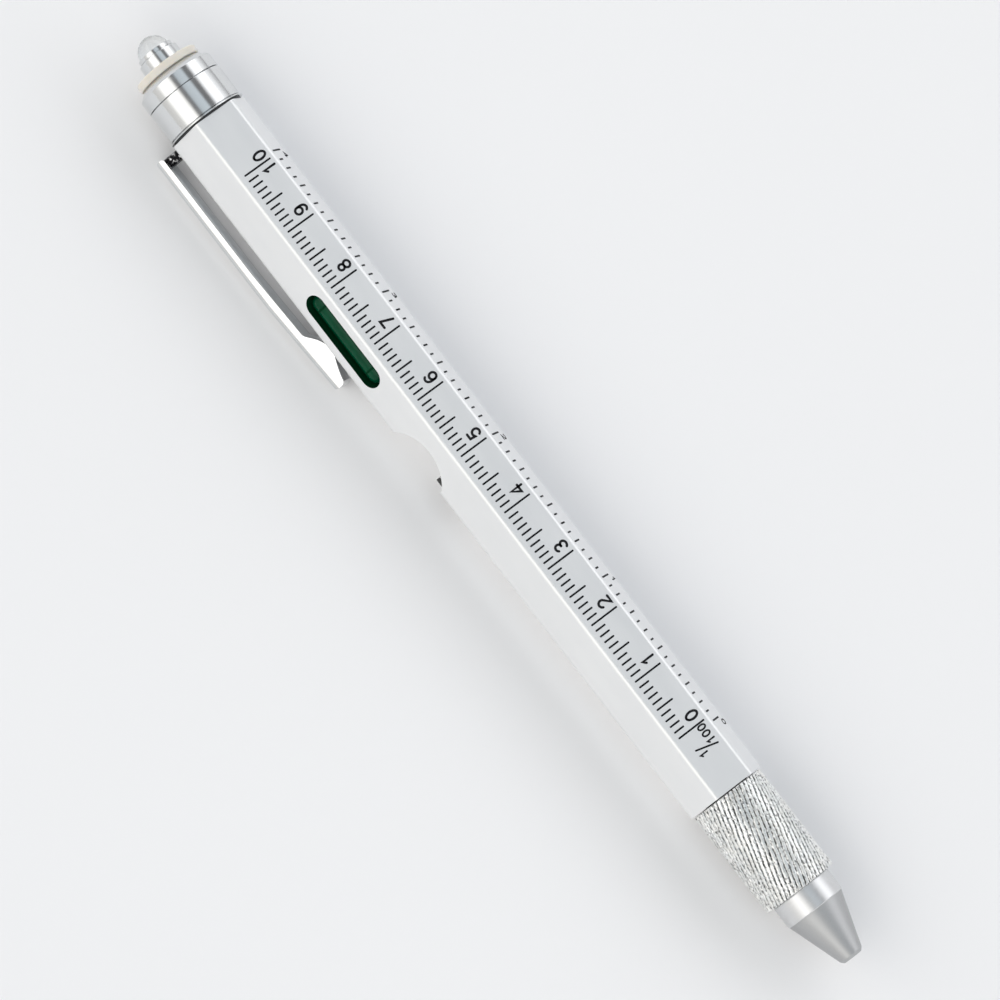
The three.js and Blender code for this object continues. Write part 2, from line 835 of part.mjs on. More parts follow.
// The knurl: ridges that lean round the grip, with chamfered ends, over a plain stepped bore.
function knurledSleeve() {
  const lean = Math.tan((ribLeadAngle * Math.PI) / 180) / gripRadius;
  const rows = [
    [gripStart, gripRadius - gripEdge],
    [gripStart + gripEdge, gripRadius],
    [gripEnd - gripEdge, gripRadius],
    [gripEnd, gripRadius - gripEdge],
  ];
  const columns = 2 * ribCount;
  const rowSteps = 5;
  const outer = [];
  rows.forEach(([x, radius], index) => {
    outer.push([x, radius]);
    if (index !== 1) return;
    const next = rows[index + 1][0];
    for (let step = 1; step < rowSteps; step += 1) outer.push([x + ((next - x) * step) / rowSteps, radius]);
  });
  const positions = [];
  outer.forEach(([x, radius], row) => {
    const full = row > 0 && row < outer.length - 1;
    for (let column = 0; column < columns; column += 1) {
      const angle = (column * 2 * Math.PI) / columns - lean * (x - gripStart);
      const groove = full && column % 2 === 0 ? ribDepth : 0;
      const reach = radius - groove;
      positions.push(x, reach * Math.sin(angle), reach * Math.cos(angle));
    }
  });
  const hubs = positions.length / 3;
  positions.push(gripStart, 0, 0, gripEnd, 0, 0);
  const faces = [];
  for (let column = 0; column < columns; column += 1) {
    const next = (column + 1) % columns;
    for (let row = 0; row + 1 < outer.length; row += 1) {
      const low = row * columns;
      const high = low + columns;
      faces.push(low + column, high + column, low + next, low + next, high + column, high + next);
    }
    const last = (outer.length - 1) * columns;
    faces.push(hubs, column, next, hubs + 1, last + next, last + column);
  }
  const geometry = new THREE.BufferGeometry();
  geometry.setAttribute("position", new THREE.Float32BufferAttribute(positions, 3));
  geometry.setIndex(faces);
  const bored = solidFrom(geometry).subtract(rod(gripStart - overrun, seatShoulder, twistSeatBore));
  return bored
    .subtract(rod(gripStart, gripEnd, refillRadius + 2 * slideGap, smallSegments))
    .subtract(rod(gripEnd - coneSpigotLength - slideGap, gripEnd + overrun, coneSeatBore));
}

piece("grip_sleeve", knurledSleeve(), brightGrip);

// Nose cone

const coneStart = gripEnd + seatGap;
const coneShoulder = coneStart + coneCollarLength;

piece(
  "nose_cone",
  turned([
    [coneStart - coneSpigotLength, coneSpigotBore],
    [coneStart - coneSpigotLength, coneSpigotRadius],
    [coneStart, coneSpigotRadius],
    [coneStart, coneCollarRadius - coneGroove],
    [coneStart + coneGroove, coneCollarRadius],
    [coneShoulder - coneGroove, coneCollarRadius],
    [coneShoulder, coneCollarRadius - coneGroove],
    [coneEnd - coneEndEdge, coneEndRadius],
    [coneEnd, coneEndRadius - coneEndEdge],
    [coneEnd, coneThroat],
    [coneShoulder, coneThroat],
    [coneShoulder - coneSpigotBore + coneThroat, coneSpigotBore],
    [coneStart - coneSpigotLength, coneSpigotBore],
  ]),
  satin,
);

// Twist mechanism

const bushStart = noseEnd - bushLength;
const twistBore = twistTubeRadius - twistTubeWall;
const pinTop = bushRadius - slideGap;
const slotHalf = pinRadius + slideGap;

piece("nose_bush", tube(bushStart, noseEnd, bushRadius, twistTubeRadius + slideGap), brass);

// The slot that drives the pin: it climbs by the travel while it winds back by the twist.
function helicalSlot() {
  const steps = 24;
  const low = twistBore - overrun / 2;
  const high = twistTubeRadius + overrun / 2;
  const turn = (twistTurn * Math.PI) / 180;
  const slope = Math.atan2(refillTravel, twistTubeRadius * turn);
  const half = slotHalf / Math.cos(slope);
  const positions = [];
  for (let step = 0; step <= steps; step += 1) {
    const share = step / steps;
    const x = pinPlace + share * refillTravel;
    const y = Math.sin(share * turn);
    const z = Math.cos(share * turn);
    positions.push(x - half, low * y, low * z, x - half, high * y, high * z);
    positions.push(x + half, high * y, high * z, x + half, low * y, low * z);
  }
  const faces = [];
  for (let step = 0; step < steps; step += 1) {
    for (let side = 0; side < 4; side += 1) {
      const a = step * 4 + side;
      const b = step * 4 + ((side + 1) % 4);
      faces.push(a, b, a + 4, b, b + 4, a + 4);
    }
  }
  const end = steps * 4;
  faces.push(0, 2, 1, 0, 3, 2, end, end + 1, end + 2, end, end + 2, end + 3);
  const geometry = new THREE.BufferGeometry();
  geometry.setAttribute("position", new THREE.Float32BufferAttribute(positions, 3));
  geometry.setIndex(faces);
  return solidFrom(geometry)
    .add(post(pinPlace, slotHalf, low, high))
    .add(post(pinPlace + refillTravel, slotHalf, low, high, -turn));
}

function twistTube() {
  const flangeEnd = bushStart - slideGap;
  const body = turned([
    [twistRear, twistBore],
    [twistRear, twistTubeRadius],
    [flangeEnd - twistFlange, twistTubeRadius],
    [flangeEnd - twistFlange, bushRadius - slideGap],
    [flangeEnd, bushRadius - slideGap],
    [flangeEnd, twistTubeRadius],
    [gripStart + twistTubeSeat, twistTubeRadius],
    [gripStart + twistTubeSeat, twistBore],
    [twistRear, twistBore],
  ]);
  return body.subtract(helicalSlot());
}

piece("twist_tube", twistTube(), brass);

function guideSleeve() {
  const body = tube(guideStart, guideEnd, bushRadius, twistTubeRadius + slideGap);
  const low = twistTubeRadius;
  const high = bushRadius + overrun;
  const middle = block(pinPlace, pinPlace + refillTravel, 2 * slotHalf, low, high);
  return body
    .subtract(middle)
    .subtract(post(pinPlace, slotHalf, low, high))
    .subtract(post(pinPlace + refillTravel, slotHalf, low, high));
}

piece("guide_sleeve", guideSleeve(), brass);

const carrierRadius = twistBore - slideGap;

piece(
  "refill_carrier",
  rod(carrierStart, carrierEnd, carrierRadius)
    .subtract(rod(refillTail - seatGap, carrierEnd + overrun, refillRadius + seatGap, smallSegments))
    .subtract(post(pinPlace, pinRadius + seatGap, 0, bushRadius)),
  blackPlastic,
);
piece("carrier_pin", post(pinPlace, pinRadius, seatGap, pinTop), steel);

// Refill

piece(
  "refill_tube",
  tube(refillTail, tipStart, refillRadius, refillRadius - refillWall, smallSegments),
  brass,
);

function refillTip() {
  const neck = refillPoint - ballRadius;
  const coneFoot = neck - tipConeLength;
  return turned(
    [
      [tipStart + seatGap, 0],
      [tipStart + seatGap, refillRadius],
      [coneFoot, refillRadius],
      [neck, tipNeckRadius],
      [neck, ballRadius],
      [neck + ballRadius * Math.sin(Math.PI / 4), ballRadius * Math.cos(Math.PI / 4)],
      [refillPoint, 0],
    ],
    smallSegments,
  );
}

piece("refill_tip", refillTip(), brass);

export default pen;
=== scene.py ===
from math import atan2, cos, pi, radians, sin, tan

import bmesh
import bpy
from mathutils import Matrix, Vector
from mathutils.noise import noise as ripple_at


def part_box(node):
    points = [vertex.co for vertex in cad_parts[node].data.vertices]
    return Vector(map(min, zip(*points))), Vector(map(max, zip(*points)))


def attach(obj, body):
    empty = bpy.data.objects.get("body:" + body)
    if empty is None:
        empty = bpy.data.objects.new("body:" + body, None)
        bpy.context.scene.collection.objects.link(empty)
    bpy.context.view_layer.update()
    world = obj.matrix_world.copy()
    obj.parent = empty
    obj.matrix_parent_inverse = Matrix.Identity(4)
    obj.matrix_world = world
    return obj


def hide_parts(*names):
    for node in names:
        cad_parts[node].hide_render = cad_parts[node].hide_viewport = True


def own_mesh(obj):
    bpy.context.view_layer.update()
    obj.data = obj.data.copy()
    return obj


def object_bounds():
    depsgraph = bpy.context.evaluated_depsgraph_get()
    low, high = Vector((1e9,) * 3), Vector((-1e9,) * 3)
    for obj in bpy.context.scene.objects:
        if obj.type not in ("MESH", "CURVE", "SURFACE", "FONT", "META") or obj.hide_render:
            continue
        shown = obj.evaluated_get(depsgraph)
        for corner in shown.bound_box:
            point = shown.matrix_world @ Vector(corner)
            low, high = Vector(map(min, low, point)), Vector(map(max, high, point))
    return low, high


# Multi tool pen: satin hexagonal barrel with rulers, a level, an opener and a sprung clip, a press lamp
# on its cap and a knurled twist grip. Lengths here are in millimetres, turned into metres by MM.
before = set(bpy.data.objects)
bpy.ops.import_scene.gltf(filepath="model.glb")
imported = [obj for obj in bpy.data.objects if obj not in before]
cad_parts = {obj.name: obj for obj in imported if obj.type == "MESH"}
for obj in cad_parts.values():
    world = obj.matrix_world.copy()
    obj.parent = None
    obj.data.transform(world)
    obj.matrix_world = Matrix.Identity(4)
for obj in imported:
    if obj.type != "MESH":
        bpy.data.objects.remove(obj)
cad_low, cad_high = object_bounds()

MM = 0.001
FLAT_ANGLE = radians(30)
TURNED_SIDES = 144
SMALL_SIDES = 64
FILLET_STEPS = 5
SHARP_ANGLE = radians(50)
SKIN = 0.008  # how far printing and other thin layers stand off what carries them
SEAT = 0.05  # left between pieces that are pressed together
OVERRUN = 1.0  # how far a cut runs past the face that it opens
EDGE = 0.1  # rounding of machined edges


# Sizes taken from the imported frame


def ends(node):
    """Lowest and highest place of a node along the pen."""
    low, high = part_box(node)
    return low.x / MM, high.x / MM


def reach(node):
    """Radius of a turned node."""
    low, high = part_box(node)
    return (high.y - low.y) / 2 / MM


def axis_of(node):
    low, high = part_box(node)
    return (high.z + low.z) / 2 / MM


AXIS = axis_of("cap_sleeve")
APOTHEM = AXIS
HEAD, NOSE = ends("barrel")
LEVEL_TURN = radians(60)
CLIP_TURN = radians(120)


# Meshes


def sharpen(made, angle=FLAT_ANGLE):
    """Smooth shading, but for edges where the faces turn by more than angle."""
    made.data.shade_smooth()
    made.data.set_sharp_from_angle(angle=angle)


def put(name, data):
    made = bpy.data.objects.new(name, data)
    bpy.context.collection.objects.link(made)
    return made


def add_mesh(name, points, faces, material):
    """A mesh object from points in millimetres about the pen's axis, its faces turned outwards."""
    mesh = bpy.data.meshes.new(name)
    mesh.from_pydata([(x * MM, y * MM, (z + AXIS) * MM) for x, y, z in points], [], faces)
    mesh.validate()
    mesh.materials.append(material)
    work = bmesh.new()
    work.from_mesh(mesh)
    bmesh.ops.remove_doubles(work, verts=work.verts, dist=1e-7)
    bmesh.ops.recalc_face_normals(work, faces=work.faces)
    work.to_mesh(mesh)
    work.free()
    made = put(name, mesh)
    sharpen(made)
    return made


def ring(x, radius, sides, y=0.0, z=0.0):
    """Points round the pen's axis at x, or round a line beside it."""
    angles = [2 * pi * side / sides for side in range(sides)]
    return [(x, y + radius * sin(angle), z + radius * cos(angle)) for angle in angles]


def skin(rows, sides, closed=False):
    """Faces between rows of points, each a loop of sides; closed joins the last row to the first."""
    faces = []
    for row in range(rows if closed else rows - 1):
        low, high = row * sides, (row + 1) % rows * sides
        for side in range(sides):
            beside = (side + 1) % sides
            faces.append((low + side, high + side, high + beside, low + beside))
    return faces


def arc(x, y, rx, ry, start, end, steps=20):
    """Points of an elliptical arc; angles in degrees, anticlockwise from the right."""
    angles = [radians(start + (end - start) * step / steps) for step in range(steps + 1)]
    return [(x + rx * cos(angle), y + ry * sin(angle)) for angle in angles]


def bend(x, y, radius, start, end, steps=8):
    return arc(x, y, radius, radius, start, end, steps)


def level_normals(made):
    """Keeps the shading of wide faces flat where they meet narrow rounded edges."""
    weighted = made.modifiers.new("level normals", "WEIGHTED_NORMAL")
    weighted.keep_sharp = True
    weighted.weight = 100


def rounded(corners, steps=FILLET_STEPS):
    """An outline of (x, y, fillet) corners, with each corner rounded by its fillet."""
    outline = []
    count = len(corners)
    for index, (x, y, fillet) in enumerate(corners):
        here = Vector((x, y))
        if fillet <= 0:
            outline.append(here)
            continue
        before = Vector(corners[index - 1][:2]) - here
        after = Vector(corners[(index + 1) % count][:2]) - here
        half = before.angle(after) / 2
        run = min(fillet / tan(half), 0.49 * before.length, 0.49 * after.length)
        start = here + before.normalized() * run
        end = here + after.normalized() * run
        for step in range(steps + 1):
            share = step / steps
            outline.append(start.lerp(here, share).lerp(here.lerp(end, share), share))
    return outline


def lathe(name, corners, material, sides=TURNED_SIDES, steps=FILLET_STEPS, ripple=None):
    """A closed ring turned about the pen's axis from (x, radius, fillet) corners."""
    profile = rounded(corners, steps)
    points = []
    for x, radius in profile:
        for side in range(sides):
            angle = 2 * pi * side / sides
            r = radius + (ripple(x, angle) if ripple else 0)
            points.append((x, r * sin(angle), r * cos(angle)))
    made = add_mesh(name, points, skin(len(profile), sides, closed=True), material)
    level_normals(made)
    return made


def solid_lathe(name, corners, material, sides):
    """A turned solid: the outline starts and ends on the axis."""
    profile = rounded([(corners[0][0], 0, 0)] + corners + [(corners[-1][0], 0, 0)])[1:-1]
    points = [point for x, radius in profile for point in ring(x, radius, sides)]
    caps = [tuple(range(sides)), tuple(reversed(range(len(points) - sides, len(points))))]
    made = add_mesh(name, points, skin(len(profile), sides) + caps, material)
    level_normals(made)
    return made


def prism(name, outline, start, end, place, material):
    """A closed outline of (a, b) points, carried from start to end along c; place(a, b, c) gives x, y, z."""
    count = len(outline)
    points = [place(a, b, start) for a, b in outline] + [place(a, b, end) for a, b in outline]
    faces = [tuple(range(count)), tuple(range(2 * count - 1, count - 1, -1))]
    for index in range(count):
        beside = (index + 1) % count
        faces.append((index, beside, count + beside, count + index))
    return add_mesh(name, points, faces, material)


def across(a, b, c):
    """Outline in (y, z), carried along the pen."""
    return c, a, b


def sideways(a, b, c):
    """Outline in (x, z), carried across the pen."""
    return a, c, b


def upright(a, b, c):
    """Outline in (x, y), carried up from the axis."""
    return a, b, c


def turn(made, angle):
    """Turns an object's mesh about the pen's axis."""
    centre = Matrix.Translation((0, 0, AXIS * MM))
    made.data.transform(centre @ Matrix.Rotation(angle, 4, "X") @ centre.inverted())


def cut(made, cutter, operation="DIFFERENCE"):
    """Applies a boolean with a helper object, which is deleted."""
    boolean = made.modifiers.new("cut", "BOOLEAN")
    boolean.object = cutter
    boolean.operation = operation
    boolean.solver = "EXACT"
    boolean.material_mode = "TRANSFER"
    apply_modifiers(made)
    bpy.data.objects.remove(cutter)


def apply_modifiers(made):
    graph = bpy.context.evaluated_depsgraph_get()
    mesh = bpy.data.meshes.new_from_object(made.evaluated_get(graph))
    made.modifiers.clear()
    made.data = mesh


def soften(made, width, segments=3, material=-1):
    """Small rounded edges on a cut piece, in another of its materials where one is named."""
    sharpen(made)
    bevel = made.modifiers.new("edges", "BEVEL")
    bevel.width = width * MM
    bevel.segments = segments
    bevel.limit_method = "ANGLE"
    bevel.angle_limit = FLAT_ANGLE
    bevel.miter_outer = "MITER_ARC"
    bevel.material = material
    apply_modifiers(made)
    sharpen(made, SHARP_ANGLE)
    level_normals(made)


def dress(made, body, slot, *nodes):
    """Puts a finished piece on its body, in place of the nodes it stands for."""
    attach(made, body)
    if nodes:
        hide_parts(*nodes)


# Materials

EVEN = (1, 1, 1)
ALONG = (0.2, 1, 1)


def shader(name, colour, metallic, roughness, **more):
    """A material and its main shader; more gives other sockets by name, with _ for a space."""
    material = bpy.data.materials.new(name)
    material.use_nodes = True
    main = material.node_tree.nodes["Principled BSDF"]
    main.inputs["Base Color"].default_value = (*colour, 1)
    main.inputs["Metallic"].default_value = metallic
    main.inputs["Roughness"].default_value = roughness
    for socket, value in more.items():
        main.inputs[socket.replace("_", " ")].default_value = value
    return material, main


def add_node(material, kind, **values):
    made = material.node_tree.nodes.new(kind)
    for key, value in values.items():
        if key in made.inputs:
            made.inputs[key].default_value = value
        else:
            setattr(made, key, value)
    return made


def link(source, target):
    target.id_data.links.new(source, target)


def noise(material, scale, detail, roughness=0.5, stretch=EVEN):
    """A grain in object coordinates, in millimetres stretched per axis."""
    mapping = add_node(material, "ShaderNodeMapping")
    mapping.inputs["Scale"].default_value = [share / MM for share in stretch]
    made = add_node(material, "ShaderNodeTexNoise", Scale=scale, Detail=detail, Roughness=roughness)
    link(add_node(material, "ShaderNodeTexCoord").outputs["Object"], mapping.inputs["Vector"])
    link(mapping.outputs["Vector"], made.inputs["Vector"])
    return made.outputs["Fac"]


def span(material, value, low, high, start=0.0, end=1.0):
    """Maps a value from the range start to end to the range low to high."""
    made = add_node(material, "ShaderNodeMapRange")
    for socket, limit in (("From Min", start), ("From Max", end), ("To Min", low), ("To Max", high)):
        made.inputs[socket].default_value = limit
    link(value, made.inputs["Value"])
    return made.outputs["Result"]


def tint(material, value, low, high):
    """A colour that runs from low to high with a 0 to 1 value."""
    made = add_node(material, "ShaderNodeMix", data_type="RGBA")
    made.inputs["A"].default_value = (*low, 1)
    made.inputs["B"].default_value = (*high, 1)
    link(value, made.inputs["Factor"])
    return made.outputs["Result"]


def ramp(material, value, *stops, interpolation="LINEAR"):
    """A colour that changes with a value from stop to stop, each a place and its colour."""
    made = add_node(material, "ShaderNodeValToRGB")
    made.color_ramp.interpolation = interpolation
    elements = made.color_ramp.elements
    while len(elements) < len(stops):
        elements.new(0.5)
    for element, (where, colour) in zip(elements, stops):
        element.position = where
        element.color = (*colour, 1)
    link(value, made.inputs["Fac"])
    return made.outputs["Color"]


def maths(material, operation, *values):
    made = add_node(material, "ShaderNodeMath", operation=operation)
    for value, socket in zip(values, made.inputs):
        link(value, socket)
    return made.outputs["Value"]


def relief(material, main, height, depth, strength):
    made = add_node(material, "ShaderNodeBump")
    made.inputs["Distance"].default_value = depth * MM
    made.inputs["Strength"].default_value = strength
    link(height, made.inputs["Height"])
    link(made.outputs["Normal"], main.inputs["Normal"])


def grained(name, colour, metallic, roughness, grain, low, high, rough=None, bumps=None, **more):
    """A material coloured from low to high by a grain: its scale, detail, roughness and stretch.

    rough is the range of the surface's roughness, bumps the depth and strength of the relief."""
    material, main = shader(name, colour, metallic, roughness, **more)
    scale, detail, share, stretch = grain
    value = noise(material, scale, detail, share, stretch)
    link(tint(material, value, low, high), main.inputs["Base Color"])
    if rough:
        link(span(material, value, *rough), main.inputs["Roughness"])
    if bumps:
        relief(material, main, value, *bumps)
    return material


def brushed(name, low, high, roughness, along, metallic=1.0):
    """Drawn or turned metal: fine lines in one direction."""
    return grained(name, high, metallic, roughness, (4.0, 3.0, 0.6, along), low, high,
                   (roughness - 0.08, roughness + 0.08), (0.006, 0.4))


def satin_silver():
    """Bead-blasted and anodised aluminium: a fine even grain and a faint cloudiness."""
    material, main = shader("satin_silver", (0.80, 0.81, 0.82), 0.62, 0.42)
    fine = noise(material, 9.0, 2.0)
    cloud = noise(material, 0.35, 2.0, stretch=(0.25, 1, 1))
    grain = maths(material, "ADD", span(material, fine, -0.03, 0.03), span(material, cloud, 0.38, 0.46))
    link(grain, main.inputs["Roughness"])
    link(tint(material, cloud, (0.79, 0.80, 0.81), (0.85, 0.855, 0.86)), main.inputs["Base Color"])
    relief(material, main, fine, 0.004, 0.35)
    return material


def chrome():
    """Bright plating with the faint marks of handling."""
    material, main = shader("chrome", (0.72, 0.73, 0.735), 1.0, 0.15)
    smear = noise(material, 0.8, 4.0)
    link(span(material, smear, 0.12, 0.19), main.inputs["Roughness"])
    relief(material, main, noise(material, 1.5, 2.0, stretch=(0.6, 1, 1)), 0.002, 0.2)
    return material


def bright_knurl():
    """Cut metal: bright ridges, the grooves darkened by painted shade, with random dark specks."""
    material, main = shader("bright_knurl", (0.86, 0.86, 0.86), 0.85, 0.3)
    cuts = noise(material, 3.2, 3.0, stretch=(0.6, 1, 1))
    link(span(material, cuts, 0.22, 0.40), main.inputs["Roughness"])
    specks = noise(material, 4.6, 4.0, 0.7, (0.5, 1, 1))
    groove = add_node(material, "ShaderNodeAttribute", attribute_name="groove")
    # Painted shade: the colour darkens with each groove's depth, kept on the mesh, and random specks break
    # up the lines
    groove_and_specks = maths(material, "ADD", groove.outputs["Fac"], span(material, specks, -3.0, 2.8))
    groove_shade_and_specks = ramp(material, groove_and_specks, (0.2, (1, 1, 1)), (1.0, (0.06, 0.06, 0.062)))
    patches = noise(material, 0.5, 2.0)
    shade = add_node(material, "ShaderNodeMix", data_type="RGBA", blend_type="MULTIPLY")
    shade.inputs["Factor"].default_value = 1.0
    link(tint(material, patches, (0.80, 0.83, 0.85), (0.93, 0.91, 0.87)), shade.inputs["A"])
    link(groove_shade_and_specks, shade.inputs["B"])
    link(shade.outputs["Result"], main.inputs["Base Color"])
    relief(material, main, cuts, 0.05, 0.8)
    return material


def speckled_steel():
    """Near-black metal with lighter specks: painted shade for the clip's root."""
    material, main = shader("clip_root_painted_shade", (0.03, 0.03, 0.032), 1.0, 0.22)
    specks = noise(material, 1.6, 3.0, 0.7)
    stops = (0.52, (0.008, 0.008, 0.009)), (0.62, (0.5, 0.5, 0.51))
    link(ramp(material, specks, *stops), main.inputs["Base Color"])
    relief(material, main, specks, 0.12, 0.8)
    return material


def cream_plastic():
    """Milky moulded plastic that lets a little light through."""
    depths = (0.9 * MM, 0.7 * MM, 0.45 * MM)
    material, main = shader("cream_plastic", (0.74, 0.71, 0.65), 0.0, 0.38, Subsurface_Weight=0.35,
                            Subsurface_Radius=depths, Subsurface_Scale=1.0)
    cloud = noise(material, 0.7, 3.0)
    link(tint(material, cloud, (0.69, 0.65, 0.58), (0.78, 0.75, 0.69)), main.inputs["Base Color"])
    link(span(material, cloud, 0.3, 0.46), main.inputs["Roughness"])
    relief(material, main, noise(material, 6.0, 2.0), 0.003, 0.3)
    return material


def clear_plastic():
    """Cast clear resin, barely tinted, with slight waves left by its mould."""
    material, main = shader("clear_plastic", (0.96, 0.98, 0.98), 0.0, 0.02,
                            IOR=1.5, Transmission_Weight=1.0)
    waves = noise(material, 0.6, 1.0)
    link(span(material, waves, 0.01, 0.05), main.inputs["Roughness"])
    relief(material, main, waves, 0.01, 0.15)
    return material


SATIN = satin_silver()
CHROME = chrome()
KNURL = bright_knurl()
STEEL = brushed("steel", (0.42, 0.43, 0.44), (0.66, 0.67, 0.68), 0.28, (0.15, 1, 1))
BRASS = brushed("brass", (0.55, 0.40, 0.16), (0.78, 0.60, 0.28), 0.3, (1, 0.3, 0.3))
# Near-black metal for the twist tube and nose bush: painted shade, so the gap at the grip's end reads dark
GAP_SHADE_METAL = brushed("gap_shade_dark_metal", (0.05, 0.042, 0.035), (0.10, 0.085, 0.07), 0.5, EVEN)
ROOT_PAINTED_SHADE = speckled_steel()
# The opener tongue: near-black, painted shade for its place deep in the notch
LIP_PAINTED_SHADE = brushed("lip_painted_shade", (0.03, 0.03, 0.031), (0.06, 0.06, 0.062), 0.4, ALONG)
# The clip's inner faces: a lighter, less metallic copy of its chrome plating, painted light where the
# channel lies in shade
CLIP_INSIDE_LIGHTENED = brushed("clip_inside_painted_light", (0.76, 0.77, 0.78), (0.90, 0.91, 0.92), 0.34, ALONG, 0.45)
CONE = brushed("turned_metal", (0.66, 0.665, 0.67), (0.76, 0.765, 0.77), 0.38, (1, 0.2, 0.2))
# The cone beyond its shoulder: a darker base colour, painted shade standing in for dark surroundings in its
# reflection
CONE_TIP_SHADED = brushed("cone_tip_painted_shade", (0.43, 0.435, 0.44), (0.51, 0.515, 0.52), 0.48, EVEN)
CREAM = cream_plastic()
CLEAR = clear_plastic()
BLACK = grained("black_plastic", (0.02, 0.021, 0.023), 0.0, 0.5, (5.0, 3.0, 0.5, EVEN),
                (0.012, 0.013, 0.014), (0.035, 0.036, 0.04), (0.42, 0.6), (0.008, 0.4))
# The level: resin dyed so deep that little light comes through, its fluid, and dark green cement
VIAL = grained("green_resin", (0.0, 0.085, 0.035), 0.0, 0.15, (0.6, 1.0, 0.5, EVEN),
               (0.0, 0.055, 0.022), (0.0, 0.10, 0.042), (0.1, 0.2), (0.01, 0.1),
               IOR=1.4, Transmission_Weight=0.3, Specular_IOR_Level=0.08)
GREEN = grained("green_fluid", (0.0, 0.30, 0.12), 0.0, 0.12, (0.5, 1.0, 0.5, (0.3, 1, 1)),
                (0.0, 0.24, 0.10), (0.01, 0.36, 0.16), IOR=1.36)
LEVEL_BED = grained("level_bed", (0.001, 0.03, 0.01), 0.0, 0.8, (2.0, 2.0, 0.5, EVEN),
                    (0.0, 0.02, 0.006), (0.001, 0.045, 0.016), bumps=(0.01, 0.3),
                    Specular_IOR_Level=0.05)
# Laser-marked black: flat and slightly uneven
INK = grained("ink", (0.01, 0.01, 0.012), 0.0, 0.7, (3.0, 3.0, 0.5, EVEN),
              (0.004, 0.004, 0.005), (0.02, 0.02, 0.023), (0.45, 0.7), Specular_IOR_Level=0.15)
PHOSPHOR = grained("phosphor", (0.78, 0.62, 0.08), 0.0, 0.6, (8.0, 2.0, 0.5, EVEN),
                   (0.62, 0.48, 0.05), (0.86, 0.72, 0.16))


# Barrel

CORNER_RADIUS = 0.9
CORNER_STEPS = 8
COLLAR_BORE = 5.0
COLLAR_BORE_DEPTH = 5.2
HOLDER_BORE = 4.54
MECHANISM_BORE = 4.2
VIAL_CENTRE = sum(ends("level_vial")) / 2
VIAL_LENGTH = 16.0
VIAL_RADIUS = 1.75
VIAL_HEIGHT = 3.55
NOTCH_CENTRE = -53.3
NOTCH_RADIUS = 7.0
NOTCH_DEPTH = 2.95
NOTCH_SIDES = 180
TOOTH_WALL = -48.05
LIP_POCKET_END = -44.0
LIP_WIDTH = 3.0
LIP_FOOT = 4.3
LIP_TOP = 5.3
ROOT_SLACK = 0.15
POCKET_STEPS = 12
ROOT_START = -109.9
ROOT_END = -108.3
ROOT_WIDTH = 2.6


def hexagon():
    circle = (APOTHEM - CORNER_RADIUS) / cos(radians(30))
    outline = []
    for corner in range(6):
        middle = radians(60 * corner)
        for step in range(CORNER_STEPS + 1):
            angle = middle + radians(60) * (step / CORNER_STEPS - 0.5)
            outline.append((circle * cos(middle) + CORNER_RADIUS * cos(angle),
                            circle * sin(middle) + CORNER_RADIUS * sin(angle)))
    return outline


def drill(start, end, radius):
    circle = bend(0.0, 0.0, radius, 0, 360, SMALL_SIDES)[:-1]
    return prism("drill", circle, start, end, across, SATIN)


def stadium(length, radius, steps=24):
    """Outline of a slot with round ends, about its own middle."""
    straight = length / 2 - radius
    return bend(straight, 0.0, radius, -90, 90, steps) + bend(-straight, 0.0, radius, 90, 270, steps)


def capsule(name, centre, length, radius, y, z, material, steps=16, sides=SMALL_SIDES):
    """A rod with round ends, lying along the pen."""
    straight = length / 2 - radius
    profile = bend(centre - straight, 0.0, radius, 180, 90, steps)
    profile += bend(centre + straight, 0.0, radius, 90, 0, steps)
    points = [point for x, r in profile for point in ring(x, r, sides, y, z)]
    return add_mesh(name, points, skin(len(profile), sides), material)


def block(x_low, x_high, width, z_low, z_high):
    outline = [(x_low, z_low), (x_high, z_low), (x_high, z_high), (x_low, z_high)]
    return prism("block", outline, -width / 2, width / 2, sideways, SATIN)


def notch_cutter():
    height = APOTHEM - NOTCH_DEPTH + NOTCH_RADIUS
    circle = bend(NOTCH_CENTRE, height, NOTCH_RADIUS, 0, 360, NOTCH_SIDES)[:-1]
    cutter = prism("notch", circle, -APOTHEM * 2, APOTHEM * 2, sideways, SATIN)
    keep = block(NOTCH_CENTRE - 2 * NOTCH_RADIUS, TOOTH_WALL, APOTHEM * 5,
                 APOTHEM - NOTCH_DEPTH - OVERRUN, height + NOTCH_RADIUS + OVERRUN)
    cut(cutter, keep, "INTERSECT")
    return cutter


def vial_cutter():
    """The level's seat: a slot with round ends above, the lower half of the capsule's shape below."""
    straight = VIAL_LENGTH - 2 * VIAL_RADIUS
    layers = [(APOTHEM + OVERRUN, VIAL_RADIUS)]
    for step in range(POCKET_STEPS):
        angle = pi / 2 * step / POCKET_STEPS
        layers.append((VIAL_HEIGHT - VIAL_RADIUS * sin(angle), VIAL_RADIUS * cos(angle)))
    points = []
    for z, radius in layers:
        points += [(VIAL_CENTRE + a, b, z) for a, b in stadium(straight + 2 * radius, radius)]
    count = len(points) // len(layers)
    caps = [tuple(range(count)), tuple(reversed(range(len(points) - count, len(points))))]
    return add_mesh("pocket", points, skin(len(layers), count) + caps, LEVEL_BED)


